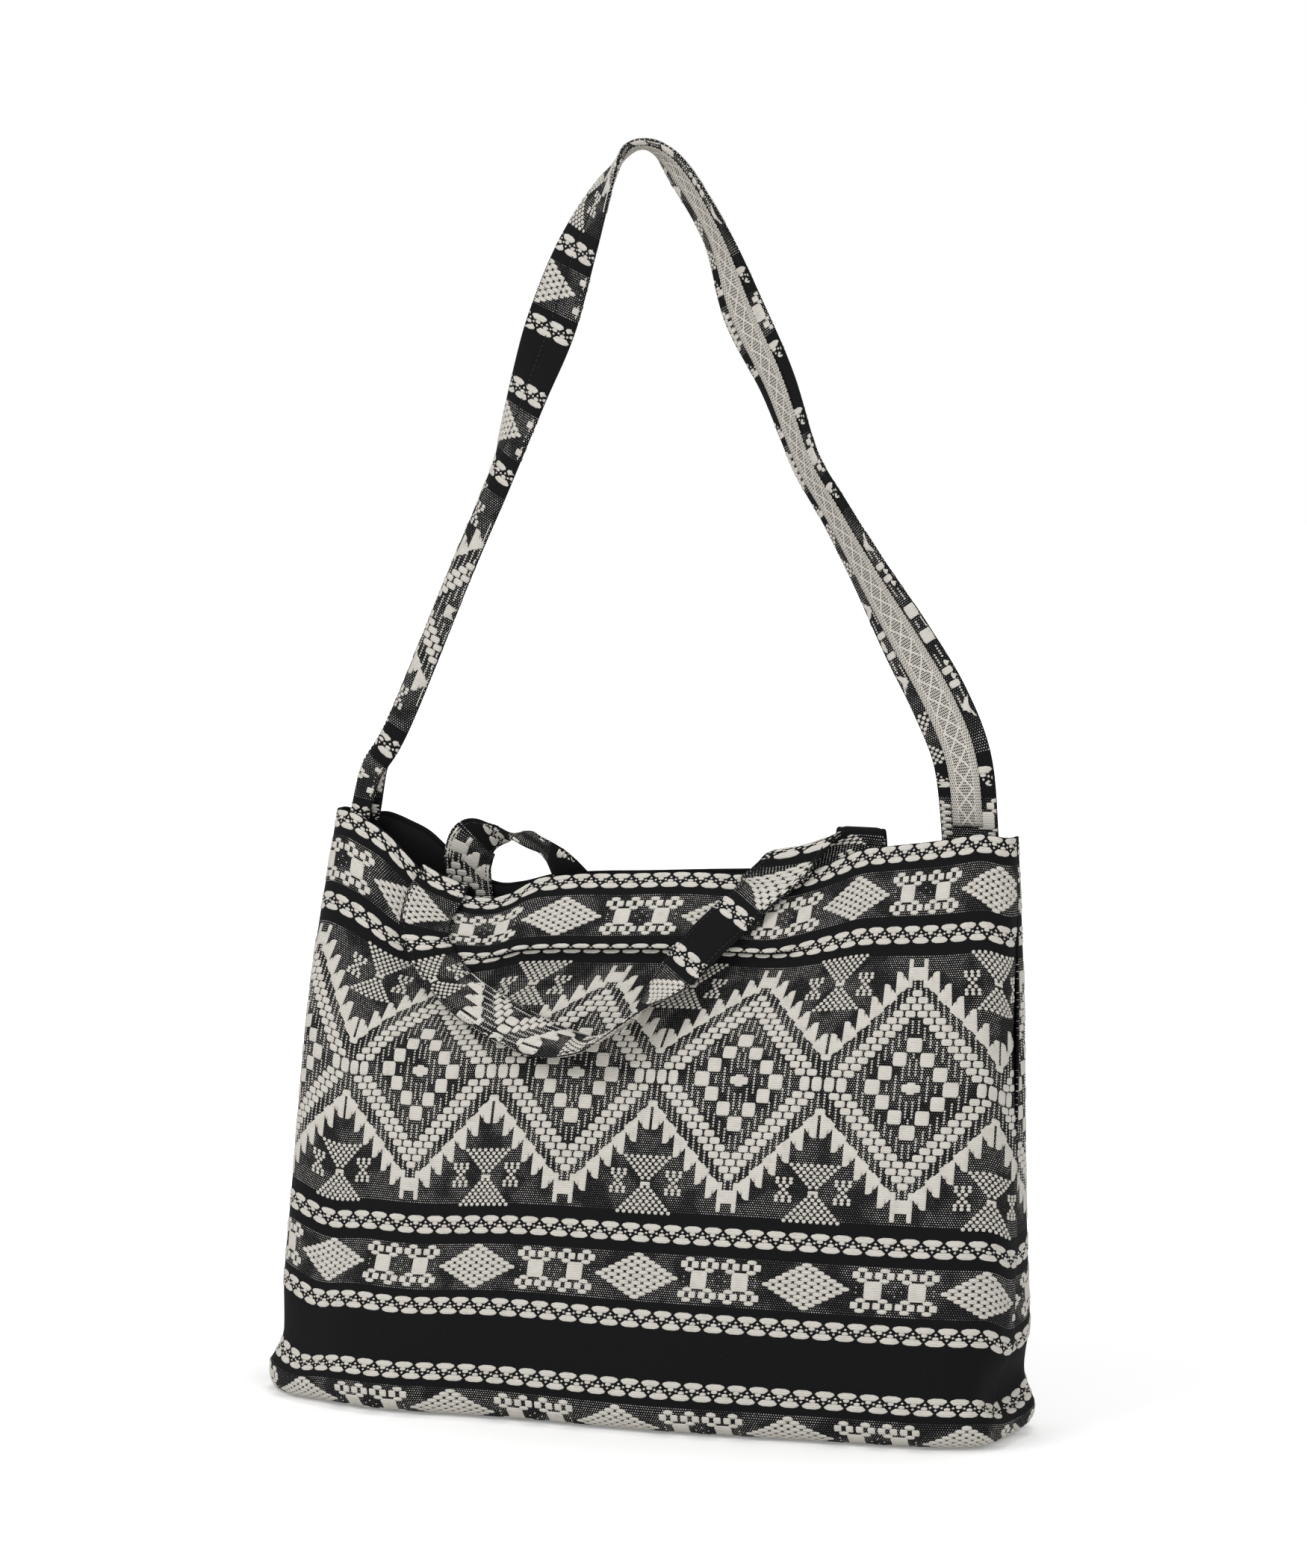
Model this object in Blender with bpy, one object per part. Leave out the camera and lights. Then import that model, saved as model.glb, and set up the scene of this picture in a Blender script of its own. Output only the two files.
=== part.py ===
"""A soft shopper bag: two jacquard panels, a lining, two hand handles and a shoulder strap.

The bag stands on its base. X runs along the bag, -Y is its front and +Z is up. The origin is on the
underside, in the middle of the base. Each panel is one half of the base, one fold and one wall, and its
woven figures stand up from the ground cloth as they do on the real cloth.
"""
import math

import bmesh
import bpy
import numpy as np
from mathutils import Vector
from mathutils.geometry import delaunay_2d_cdt

# Cloth thicknesses and running gaps, metres
PANEL_THICKNESS = 0.0015
FIGURE_HEIGHT = 0.0008
LINING_THICKNESS = 0.0010
LINING_RISE = 0.0006
LINING_SLACK = 0.0025
LOOSE_SHARE_RUN = 0.15
LOOSE_RUN = 0.050
CLOTH_GAP = 0.0008
SEAM_GAP = 0.0003

# The body of the bag
BASE_WIDTH = 0.4424
BASE_DEPTH = 0.1424
BASE_BULGE = 0.0163
BASE_FRONT_ROUNDNESS = 2.9
BASE_BACK_ROUNDNESS = 4.0
BASE_FOLD_RADIUS = 0.008
BASE_SEAM_Y = 0.006
BASE_SEAM_INSET = 0.040
RIM_WIDTH = 0.4232
RIM_SHIFT_X = 0.0045
RIM_SIDE_Y = 0.0329
RIM_ROUNDNESS = 3.6
RIM_FRONT_DEPTH = 0.020
RIM_FRONT_BULGE = -0.0144
RIM_BACK_DEPTH = 0.016
RIM_BACK_BULGE = 0.007
FRONT_MIDDLE_Y = 0.015
BACK_RIM_MIDDLE_Y = 0.015
SIDE_SWELL = 0.013
CLOTH_HEIGHT = 0.3393
TAPER_POWER = 1.533
ROUNDNESS_POWER = 1.11

# How far the slack rim sags, and the pinch at the left handle root
RIM_SAG = 0.0175
SAG_START_X = -0.172
SAG_START_RUN = 0.040
SAG_END_X = 0.140
SAG_END_RUN = 0.045
SAG_FROM_LEVEL = 0.62
PINCH_DEPTH = {-1: 0.0235, 1: 0.0165}
PINCH_X = {-1: -0.106, 1: -0.104}
PINCH_RUN = 0.022

# The woven pattern: one repeat across the cloth is 28 steps, and the height is counted in steps too
REPEAT = 0.100
STEPS_PER_REPEAT = 28
PATTERN_MIDDLE_X = 0.0259
PATTERN_MIDDLE_HEIGHT = 57.2
PATTERN_HEIGHT_STEPS = 97.4
PATTERN_COLUMNS = 6

# The woven figures in those steps: width, height and how many steps their sides go up in
DIAMOND = (26.4, 37.0, 3)
DIAMOND_RING = (18.4, 25.2)
DIAMOND_HEART = (10.0, 12.0, 2)
SMALL_DIAMOND = (13.4, 7.4)

# Width, waist and height of an hourglass, then width, height and notch of a pair of rosettes
HOURGLASS = (8.6, 2.0, 9.0)
ROSETTES = (12.8, 7.0, 1.8)

# Where the rows of figures lie, counted up from the middle of the big diamonds
HOURGLASS_ROW = 17.2
ROSETTE_ROWS = (31.9, -31.9)
CHAIN_ROWS = (38.5, 25.0, -25.0, -38.7, -49.9)
CHAIN_HEIGHT = 2.6

# How fine the solids are
TABLE_ROWS = 61
TABLE_COLUMNS = 161
FOLD_STEPS = 3
BASE_STEPS = 2
WALL_STEPS = 7
CORNER_COLUMNS = 6
PLEAT_COLUMNS = 7
FLAT_COLUMNS = 5
CORNER_SHARE = 0.62
PLEAT_SHARE = 0.20
CORNER_CROWDING = 1.8
CORNER_STEP = 0.017

GRID_CLEARANCE = 0.0025
FIGURE_MARGIN = 0.0020
NESTED_MARGIN = 0.0030
LEAST_FIGURE_SHARE = 0.3

# The shoulder strap, the tape that backs it and the two hand handles
STRAP_WIDTH = 0.0340
STRAP_THICKNESS = 0.0030
TAPE_WIDTH = 0.0175
TAPE_THICKNESS = 0.0006
HANDLE_WIDTH = 0.0280
HANDLE_THICKNESS = 0.0025
SEWN_LENGTH = 0.034
SEAT_GAP = 0.0010
TAPE_GAP = 0.0004
STRAP_SEAT_GAP = 0.0014
RIM_CLEARANCE = 0.0012

# The strap's route, from the left side seam over the top to the right end of the mouth: x and the height
# over the ends of the rim, then how far it is twisted and how far it is folded along its middle, both in
# degrees. A twist of 90 is a plain loop, 0 shows its outer face to the front and 180 the tape.
STRAP_ROUTE = (
    (-0.1890, 0.0205, 72, 72), (-0.1760, 0.0402, 60, 60), (-0.1619, 0.0683, 54, 52),
    (-0.1306, 0.1360, 52, 44), (-0.1083, 0.1820, 46, 34), (-0.0950, 0.2080, 36, 14),
    (-0.0811, 0.2411, 22, 4), (-0.0661, 0.2773, 8, 0), (-0.0496, 0.3200, 24, 0),
    (-0.0302, 0.3590, 56, 4), (-0.0126, 0.3775, 90, 8), (0.0110, 0.3670, 130, 12),
    (0.0376, 0.3278, 138, 10), (0.0532, 0.2846, 157, 0), (0.0739, 0.2450, 150, 0),
    (0.0923, 0.2013, 141, 4), (0.1107, 0.1720, 142, 4), (0.1319, 0.1366, 152, 0),
    (0.1541, 0.1009, 172, 0), (0.1729, 0.0697, 184, 0), (0.1865, 0.0371, 184, 0),
)
STRAP_Y = 0.0263
STRAP_ROOT_INSET = 0.006
STRAP_END_INSET = 0.005
STRAP_STATIONS = 42
STRAP_POINTS = 5
TAPE_POINTS = 3
TAPE_FROM_STATION = 3
STRAP_FOLD_RUN = 0.008
STRAP_ROOT_FOLD = 84

# The front handle's route on the panel and over the rim: x, the distance along the wrapped cloth from the
# top of the loop over the rim (inside is negative), and how far its lower edge swings out, in degrees
FRONT_HANDLE_ROUTE = (
    (-0.1190, -0.0390, 0), (-0.1220, -0.0130, 0), (-0.1240, 0.0000, 0), (-0.1275, 0.0140, 4),
    (-0.1310, 0.0320, 18), (-0.1285, 0.0520, 32), (-0.1130, 0.0760, 40), (-0.0800, 0.1090, 46),
    (-0.0440, 0.1290, 60), (-0.0120, 0.1335, 74), (0.0115, 0.1200, 64), (0.0240, 0.1010, 40),
    (0.0390, 0.0780, 16), (0.0548, 0.0540, 2), (0.0720, 0.0300, 0), (0.0890, 0.0130, 0),
    (0.1030, 0.0000, 0), (0.1150, -0.0120, 0), (0.1280, -0.0260, 0), (0.1400, -0.0390, 0),
)
HANDLE_STATIONS = 36
HANDLE_POINTS = 5
BACK_HANDLE_POINTS = 3
RIM_LOOP_STATIONS = 9
RIM_LOOP_RUN = 0.0068
SHEAR_RUN = 0.030
SEWN_STATIONS = 4
FINE_STATIONS = 800

# The back handle's route: x, how far it stands off its seat on the lining and its height over the ends of
# the rim, then the direction of its width. It stands in an arch at the left and falls into the bag after it.
BACK_HANDLE_ROUTE = (
    (-0.1320, 0.0006, -0.0580, (1.0, 0.0, 0.0)), (-0.1320, 0.0008, -0.0380, (1.0, 0.0, 0.0)),
    (-0.1310, 0.0034, -0.0240, (0.95, 0.15, -0.10)), (-0.1230, 0.0080, -0.0150, (0.60, 0.45, -0.55)),
    (-0.1090, 0.0068, -0.0115, (0.10, 0.80, -0.60)), (-0.0900, 0.0080, -0.0125, (-0.10, 0.80, -0.60)),
    (-0.0720, 0.0098, -0.0175, (-0.30, 0.70, -0.60)), (-0.0560, 0.0093, -0.0310, (-0.60, 0.50, -0.60)),
    (-0.0420, 0.0083, -0.0510, (-0.80, 0.30, -0.55)), (-0.0200, 0.0083, -0.0740, (-0.65, 0.10, -0.75)),
    (0.0150, 0.0083, -0.0880, (-0.15, 0.00, -1.00)), (0.0550, 0.0078, -0.0840, (0.40, 0.00, -0.92)),
    (0.0900, 0.0068, -0.0620, (0.75, 0.00, -0.66)), (0.1120, 0.0063, -0.0390, (0.92, 0.00, -0.40)),
    (0.1230, 0.0058, -0.0190, (1.0, 0.0, 0.0)), (0.1250, 0.0060, -0.0080, (1.0, 0.0, 0.0)),
    (0.1250, 0.0035, -0.0030, (1.0, 0.0, 0.0)), (0.1250, 0.0010, -0.0080, (1.0, 0.0, 0.0)),
    (0.1250, 0.0008, -0.0380, (1.0, 0.0, 0.0)),
)

# Colours of the cloths as the eye mixes them, and how matt they are
PANEL_COLOUR = (0.235, 0.228, 0.215)
LINING_COLOUR = (0.012, 0.012, 0.013)
STRAP_COLOUR = (0.210, 0.205, 0.195)
TAPE_COLOUR = (0.300, 0.290, 0.270)
CLOTH_ROUGHNESS = 0.92

COLLECTION_NAME = "shopper_bag"
FRONT = -1
BACK = 1


def clear_scene():
    """Remove every object that the file opened with."""
    for item in list(bpy.data.objects):
        bpy.data.objects.remove(item, do_unlink=True)


def smooth_step(value):
    """0 below 0, 1 above 1 and an S curve between."""
    held = np.clip(value, 0.0, 1.0)
    return held * held * (3.0 - 2.0 * held)


def blend(low, high, share):
    """The value a share of the way from low to high."""
    return low + (high - low) * share


def rim_sag(x, side):
    """How far the rim hangs below a level rim at x: a long shallow sag and a pinch."""
    long_sag = (RIM_SAG * smooth_step((x - SAG_START_X) / SAG_START_RUN)
                * smooth_step((SAG_END_X - x) / SAG_END_RUN))
    pinch = PINCH_DEPTH[side] * np.exp(-((x - PINCH_X[side]) / PINCH_RUN) ** 2)
    return long_sag + pinch


def outline(level, side):
    """Plan curve of a panel at a level from 0, base, to 1, rim: x, y and length along it.

    The curve is half of a rounded rectangle, |x/a|^e + |y/b|^e = 1, with a bulge or a hollow added in the
    middle and its two ends moved back or forward, and its points are evenly spaced along it.
    """
    taper = level ** TAPER_POWER
    half_width = blend(BASE_WIDTH, RIM_WIDTH, level) / 2 + SIDE_SWELL * 4 * level * (1 - level)
    rim_depth, rim_bulge = {FRONT: (RIM_FRONT_DEPTH, RIM_FRONT_BULGE),
                            BACK: (RIM_BACK_DEPTH, RIM_BACK_BULGE)}[side]
    base_bulge, base_roundness = {FRONT: (BASE_BULGE, BASE_FRONT_ROUNDNESS),
                                  BACK: (0.0, BASE_BACK_ROUNDNESS)}[side]
    depth = blend(BASE_DEPTH / 2, rim_depth, taper)
    bulge = blend(base_bulge, rim_bulge, level)
    roundness = blend(base_roundness, RIM_ROUNDNESS, level ** ROUNDNESS_POWER)
    turn = np.linspace(math.pi, 0.0, 4 * TABLE_COLUMNS)
    share = np.sign(np.cos(turn)) * np.abs(np.cos(turn)) ** (2 / roundness)
    out = depth * np.abs(np.sin(turn)) ** (2 / roundness) + bulge * (1 - share ** 2)
    ends = blend(0.0, RIM_SIDE_Y, level) * share ** 4
    set_back = {FRONT: FRONT_MIDDLE_Y, BACK: blend(0.0, BACK_RIM_MIDDLE_Y, level)}[side]
    middle = set_back * (1 - share ** 4)
    x = -side * half_width * share + RIM_SHIFT_X * level ** 2
    y = side * (out + SEAM_GAP / 2) + ends + middle
    length = np.concatenate([[0.0], np.cumsum(np.hypot(np.diff(x), np.diff(y)))])
    even = np.linspace(0.0, length[-1], TABLE_COLUMNS)
    return np.interp(even, length, x), np.interp(even, length, y), length[-1] / 2


def unit(vectors):
    """The same vectors at length 1."""
    return vectors / np.maximum(np.linalg.norm(vectors, axis=-1, keepdims=True), 1e-12)


def cloth_table(side):
    """The outer ground of one panel as a table of points, from the base seam up to the rim.

    Rows are at known heights along the cloth, so the pattern keeps its real size: each row of the wall lies
    one step of cloth above the last, and the rise is what is left of that step after its move in plan.
    The bottom is a quarter-round fold and a flat half base that ends at the seam.
    """
    levels = np.linspace(0.0, 1.0, TABLE_ROWS)
    rows = [outline(level, side) for level in levels]
    x = np.array([row[0] for row in rows])
    y = np.array([row[1] for row in rows])
    half_girth = np.array([row[2] for row in rows])
    step = CLOTH_HEIGHT / (TABLE_ROWS - 1)
    moved = np.hypot(np.diff(x, axis=0), np.diff(y, axis=0))
    rise = np.sqrt(np.maximum(step ** 2 - moved ** 2, (0.3 * step) ** 2))
    z = np.concatenate([np.zeros((1, TABLE_COLUMNS)), np.cumsum(rise, axis=0)])
    reach = np.clip((levels[:, None] - SAG_FROM_LEVEL) / (1 - SAG_FROM_LEVEL), 0.0, 1.0)
    z = z - rim_sag(x[-1][None, :], side) * reach ** 1.1
    wall = np.stack([x, y, z], axis=-1)
    wall_heights = levels * CLOTH_HEIGHT
    keep = wall_heights > BASE_FOLD_RADIUS * 1.2
    foot = wall[0]
    along = unit(np.gradient(foot, axis=0))
    inward = np.stack([-along[:, 1], along[:, 0], np.zeros(TABLE_COLUMNS)], axis=-1)
    fold_rows, fold_heights = [], []
    for turn in np.linspace(math.pi / 2, 0.0, 2 * FOLD_STEPS + 1):
        row = foot + inward * BASE_FOLD_RADIUS * (1 - math.cos(turn))
        row[:, 2] = BASE_FOLD_RADIUS * (1 - math.sin(turn))
        fold_rows.append(row)
        fold_heights.append(BASE_FOLD_RADIUS * (1 - turn))
    share = np.linspace(-1.0, 1.0, TABLE_COLUMNS)
    seam = np.zeros((TABLE_COLUMNS, 3))
    seam[:, 0] = -side * share * (BASE_WIDTH / 2 - BASE_SEAM_INSET)
    seam[:, 1] = BASE_SEAM_Y * (1 - share ** 2) + side * SEAM_GAP / 2
    base_rows, base_heights = [], []
    for step_back in np.linspace(1.0, 0.0, 2 * BASE_STEPS + 1)[:-1]:
        base_rows.append(blend(fold_rows[0], seam, step_back))
        base_heights.append(fold_heights[0] - step_back * BASE_DEPTH / 2)
    points = np.concatenate([np.array(base_rows), np.array(fold_rows), wall[keep]])
    heights = np.concatenate([base_heights, fold_heights, wall_heights[keep]])
    girths = np.concatenate([np.full(len(base_rows) + len(fold_rows), half_girth[0]), half_girth[keep]])
    across = np.gradient(points, axis=1)
    up = np.gradient(points, heights, axis=0)
    normals = unit(np.cross(across, up))
    normals[:len(base_rows) + 1] = (0.0, 0.0, -1.0)
    return {"points": points, "normals": normals, "heights": heights, "girths": girths}


TABLES = {side: cloth_table(side) for side in (FRONT, BACK)}


def half_girth_at(side, height):
    """Half of the panel's width, measured along the cloth, at a height along the cloth."""
    table = TABLES[side]
    return np.interp(height, table["heights"], table["girths"])


def on_cloth(side, share, height, lift):
    """World points at a share of the half width, a height along the cloth and a lift off its ground."""
    table = TABLES[side]
    share, height, lift = np.broadcast_arrays(np.asarray(share, float), height, lift)
    column = (np.clip(share, -1.0, 1.0) + 1) / 2 * (TABLE_COLUMNS - 1)
    left = np.minimum(column.astype(int), TABLE_COLUMNS - 2)
    right_part = (column - left)[..., None]
    row = np.interp(height, table["heights"], np.arange(len(table["heights"])))
    low = np.minimum(row.astype(int), len(table["heights"]) - 2)
    high_part = (row - low)[..., None]

    def read(values):
        lower = values[low, left] * (1 - right_part) + values[low, left + 1] * right_part
        upper = values[low + 1, left] * (1 - right_part) + values[low + 1, left + 1] * right_part
        return lower * (1 - high_part) + upper * high_part

    return read(table["points"]) + unit(read(table["normals"])) * lift[..., None]


def grid_shares(side):
    """Where the columns of the coarse cloth grid lie: closer at the corners and at the left handle roots."""
    from_seam = (1 - CORNER_SHARE) * np.linspace(0.0, 1.0, CORNER_COLUMNS + 1) ** CORNER_CROWDING
    pleat = np.linspace(-CORNER_SHARE, -PLEAT_SHARE, PLEAT_COLUMNS + 1)
    flat = np.linspace(-PLEAT_SHARE, CORNER_SHARE, FLAT_COLUMNS + 1)
    shares = np.concatenate([from_seam - 1, pleat[1:], flat[1:], 1 - from_seam[-2::-1]])
    return shares if side == FRONT else -shares[::-1]


def grid_heights():
    """Where its rows lie: across the half base, round the fold and up the wall."""
    fold_end = BASE_FOLD_RADIUS * (1 - math.pi / 2)
    base = np.linspace(fold_end - BASE_DEPTH / 2, fold_end, BASE_STEPS + 1)
    fold = np.linspace(fold_end, BASE_FOLD_RADIUS, FOLD_STEPS + 1)
    wall = np.linspace(BASE_FOLD_RADIUS, CLOTH_HEIGHT, WALL_STEPS + 1)
    return np.concatenate([base, fold[1:], wall[1:]])


def pattern_to_cloth(point):
    """Pattern steps, from the middle of a small diamond and of the big diamonds, to metres of cloth."""
    step = REPEAT / STEPS_PER_REPEAT
    rise = CLOTH_HEIGHT / PATTERN_HEIGHT_STEPS
    return (PATTERN_MIDDLE_X + point[0] * step, (PATTERN_MIDDLE_HEIGHT + point[1]) * rise)


def mirrored(quarter):
    """A closed outline from its upper right quarter, given from the right tip to the top."""
    upper = quarter + [(-x, y) for x, y in reversed(quarter)]
    lower = [(-x, -y) for x, y in quarter] + [(x, -y) for x, y in reversed(quarter)]
    points = []
    for point in upper + lower:
        if not points or math.dist(point, points[-1]) > 1e-6:
            points.append(point)
    if math.dist(points[0], points[-1]) < 1e-6:
        points.pop()
    return points


def stepped_lozenge(width, height, steps):
    """A lozenge whose four sides go up in equal steps, as weaving draws them."""
    quarter = []
    for step in range(steps):
        x = width / 2 * (1 - step / steps)
        low = height / 2 * step / steps
        high = height / 2 * (step + 1) / steps
        quarter += [(x, low), (x, high)]
    return mirrored(quarter)


def lozenge(width, height):
    """A plain lozenge."""
    return mirrored([(width / 2, 0.0), (0.0, height / 2)])


def big_diamond():
    """The large diamond: its stepped outline, the ground ring inside it and the stepped heart of that."""
    return stepped_lozenge(*DIAMOND), lozenge(*DIAMOND_RING), stepped_lozenge(*DIAMOND_HEART)


def bow(width, waist, height):
    """An hourglass: two triangles that meet in a waist."""
    return mirrored([(waist / 2, 0.0), (width / 2, height / 2)])


def rosette_pair(width, height, notch):
    """A pair of rosettes as one bar, notched where the two meet and at its ends."""
    return mirrored([(width / 2 - notch, 0.0), (width / 2, height / 2), (0.0, height / 2 - notch)])


def shifted(points, x, y):
    """The same outline with its middle at x, y."""
    return [(a + x, b + y) for a, b in points]


def figures():
    """Every raised figure of one panel in pattern steps: a closed outline and how deep it is nested.

    A figure inside another is a hole in it, and a figure inside that hole stands up again.
    """
    half = STEPS_PER_REPEAT // 2
    shapes = []
    for column in range(-PATTERN_COLUMNS, PATTERN_COLUMNS):
        middle = column * half
        if column % 2:
            for nested, shape in enumerate(big_diamond()):
                shapes.append((shifted(shape, middle, 0.0), nested))
        else:
            for end in (-HOURGLASS_ROW, HOURGLASS_ROW):
                shapes.append((shifted(bow(*HOURGLASS), middle, end), 0))
        for band in ROSETTE_ROWS:
            shape = rosette_pair(*ROSETTES) if column % 2 else lozenge(*SMALL_DIAMOND)
            shapes.append((shifted(shape, middle, band), 0))
    return shapes


def chain_outline(side, row):
    """A chain row as one raised bar across the panel, with its corners at the columns of the grid.

    Every second column is enough below the middle, where the cloth hangs straight.
    """
    shares = grid_shares(side)
    if row < 0:
        shares = np.append(shares[:-1:2], shares[-1])
    edges = []
    for level in (row - CHAIN_HEIGHT / 2, row + CHAIN_HEIGHT / 2):
        height = pattern_to_cloth((0.0, level))[1]
        reach = half_girth_at(side, height)
        across = np.clip(shares * reach, FIGURE_MARGIN - reach, reach - FIGURE_MARGIN)
        edges.append([(x, height) for x in across])
    return edges[0] + edges[1][::-1]


def area(points):
    """The area inside a closed outline."""
    return abs(sum(a[0] * b[1] - b[0] * a[1] for a, b in zip(points, points[1:] + points[:1]))) / 2


def clip_to_panel(outline_points, side, margin):
    """The part of an outline that lies inside the panel, a margin away from its seams and its fold."""
    def inside(point, edge):
        reach = half_girth_at(side, point[1]) - margin
        return {"left": point[0] + reach, "right": reach - point[0],
                "low": point[1] - BASE_FOLD_RADIUS - margin, "high": CLOTH_HEIGHT - margin - point[1]}[edge]

    points = outline_points
    for edge in ("left", "right", "low", "high"):
        kept = []
        for start, end in zip(points, points[1:] + points[:1]):
            start_in, end_in = inside(start, edge), inside(end, edge)
            if start_in >= 0:
                kept.append(start)
            if (start_in >= 0) != (end_in >= 0):
                share = start_in / (start_in - end_in)
                kept.append((blend(start[0], end[0], share), blend(start[1], end[1], share)))
        points = kept
        if len(points) < 3:
            return []
    return points


def refined(outline_points, side):
    """The outline with more points where it goes round the panel's corners, so that it follows their bend."""
    points = []
    for start, end in zip(outline_points, outline_points[1:] + outline_points[:1]):
        middle = (start[1] + end[1]) / 2
        corner = max(abs(start[0]), abs(end[0])) > CORNER_SHARE * half_girth_at(side, middle)
        pieces = math.ceil(math.dist(start, end) / CORNER_STEP) if corner else 1
        points += [(blend(start[0], end[0], k / pieces), blend(start[1], end[1], k / pieces))
                   for k in range(pieces)]
    return points


def distance_to_outline(points, outline_points):
    """The distance from each point to the nearest side of a closed outline."""
    start = np.array(outline_points)
    side = np.roll(start, -1, axis=0) - start
    offset = points[:, None, :] - start[None]
    share = np.clip((offset * side).sum(-1) / (side ** 2).sum(-1), 0.0, 1.0)
    return np.linalg.norm(offset - share[..., None] * side, axis=-1).min(axis=1)


def flat_panel(side):
    """The panel cut flat: a mesh in cloth metres whose figures are extruded, and its border in order."""
    shares, heights = grid_shares(side), grid_heights()
    girths = half_girth_at(side, heights)
    last_column, last_row = len(shares) - 1, len(heights) - 1
    border = [(0, j) for j in range(last_column)]
    border += [(i, last_column) for i in range(last_row)]
    border += [(last_row, last_column - j) for j in range(last_column)]
    border += [(last_row - i, 0) for i in range(last_row)]
    points = [(shares[j] * girths[i], heights[i]) for i, j in border]
    faces = [list(range(len(points)))]
    raised = [chain_outline(side, row) for row in CHAIN_ROWS]
    for shape, nested in figures():
        whole = [pattern_to_cloth(point) for point in shape]
        cut = clip_to_panel(whole, side, FIGURE_MARGIN + nested * NESTED_MARGIN)
        if cut and area(cut) > LEAST_FIGURE_SHARE * area(whole):
            raised.append(refined(cut, side))
    inner = np.array([(shares[j] * girths[i], heights[i])
                      for i in range(1, last_row) for j in range(1, last_column)])
    clearance = np.min([distance_to_outline(inner, cut) for cut in raised], axis=0)
    points += [tuple(point) for point in inner[clearance > GRID_CLEARANCE]]
    for cut in raised:
        faces.append(list(range(len(points), len(points) + len(cut))))
        points += cut
    flat, _, triangles, sources, _, owners = delaunay_2d_cdt([Vector(point) for point in points], [], faces,
                                                              1, 1e-7)
    mesh = bmesh.new()
    corners = [mesh.verts.new((point.x, point.y, 0.0)) for point in flat]
    standing = []
    for triangle, owner in zip(triangles, owners):
        face = mesh.faces.new([corners[i] for i in triangle])
        if (len(set(owner)) - 1) % 2:
            standing.append(face)
    place = {source: index for index, found in enumerate(sources) for source in found}
    edge = [corners[place[i]] for i in range(len(border))]
    moved = bmesh.ops.extrude_face_region(mesh, geom=standing)["geom"]
    for item in moved:
        if isinstance(item, bmesh.types.BMVert):
            item.co.z = FIGURE_HEIGHT
    covered = [face for face in standing if face.is_valid]
    bmesh.ops.delete(mesh, geom=covered, context="FACES_ONLY")
    loose_edges = [item for item in mesh.edges if not item.link_faces]
    bmesh.ops.delete(mesh, geom=loose_edges, context="EDGES")
    loose = [vertex for vertex in mesh.verts if not vertex.link_faces]
    bmesh.ops.delete(mesh, geom=loose, context="VERTS")
    return mesh, border, edge


def coarse_grid(side, lift):
    """The cloth at the coarse grid's columns and rows, at one lift off its ground."""
    shares, heights = np.meshgrid(grid_shares(side), grid_heights())
    return on_cloth(side, shares, heights, lift)


def make_object(name, mesh, colour, roughness):
    """One named solid with its own material."""
    data = bpy.data.meshes.new(name)
    mesh.to_mesh(data)
    mesh.free()
    return finish_object(name, data, colour, roughness)


def finish_object(name, data, colour, roughness):
    """Put a mesh in the collection with a Principled material of its own."""
    material = bpy.data.materials.new(name)
    material.use_nodes = True
    shader = material.node_tree.nodes["Principled BSDF"]
    shader.inputs["Base Color"].default_value = (*colour, 1.0)
    shader.inputs["Roughness"].default_value = roughness
    shader.inputs["Metallic"].default_value = 0.0
    data.materials.append(material)
    made = bpy.data.objects.new(name, data)
    bpy.data.collections[COLLECTION_NAME].objects.link(made)
    return made


def make_panel(name, side):
    """One jacquard panel: figured outer face, plain inner face and the cut edge that joins them."""
    mesh, border, edge = flat_panel(side)
    flat = np.array([vertex.co for vertex in mesh.verts])
    share = flat[:, 0] / half_girth_at(side, flat[:, 1])
    world = on_cloth(side, share, flat[:, 1], flat[:, 2])
    for vertex, place in zip(mesh.verts, world):
        vertex.co = place
    inner = coarse_grid(side, -PANEL_THICKNESS)
    back = [[mesh.verts.new(place) for place in row] for row in inner]
    for low, high in zip(back, back[1:]):
        for a, b, c, d in zip(low, low[1:], high[1:], high):
            mesh.faces.new((a, c, b))
            mesh.faces.new((a, d, c))
    rim = [back[i][j] for i, j in border]
    for k in range(len(border)):
        following = (k + 1) % len(border)
        mesh.faces.new((edge[following], edge[k], rim[k]))
        mesh.faces.new((edge[following], rim[k], rim[following]))
    return make_object(name, mesh, PANEL_COLOUR, CLOTH_ROUGHNESS)


def lining_slack(share, height):
    """How much further in the lining hangs at the corners below the rim, as a lining cut smaller does."""
    at_corner = smooth_step((np.abs(share) - CORNER_SHARE) / LOOSE_SHARE_RUN)
    return LINING_SLACK * at_corner * smooth_step((CLOTH_HEIGHT - height) / LOOSE_RUN)


def on_lining(side, share, height, lift):
    """World points at a lift off the inner face of the lining, into the bag."""
    depth = PANEL_THICKNESS + CLOTH_GAP + LINING_THICKNESS
    return on_cloth(side, share, height, -depth - lining_slack(share, height) - lift)


def lining_layer(depth):
    """Front and back grids of one face of the lining, with one shared line where they are sewn."""
    halves = []
    for side in (FRONT, BACK):
        shares, heights = np.meshgrid(grid_shares(side), grid_heights())
        halves.append(on_cloth(side, shares, heights, -depth - lining_slack(shares, heights)))
    front, back = halves
    for here, there in ((0, -1), (-1, 0)):
        shared = (front[:, here] + back[:, there]) / 2
        front[:, here] = shared
        back[:, there] = shared
    seam = (front[0] + back[0, ::-1]) / 2
    front[0] = seam
    back[0] = seam[::-1]
    front[-1, :, 2] += LINING_RISE
    back[-1, :, 2] += LINING_RISE
    return front, back


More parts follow.
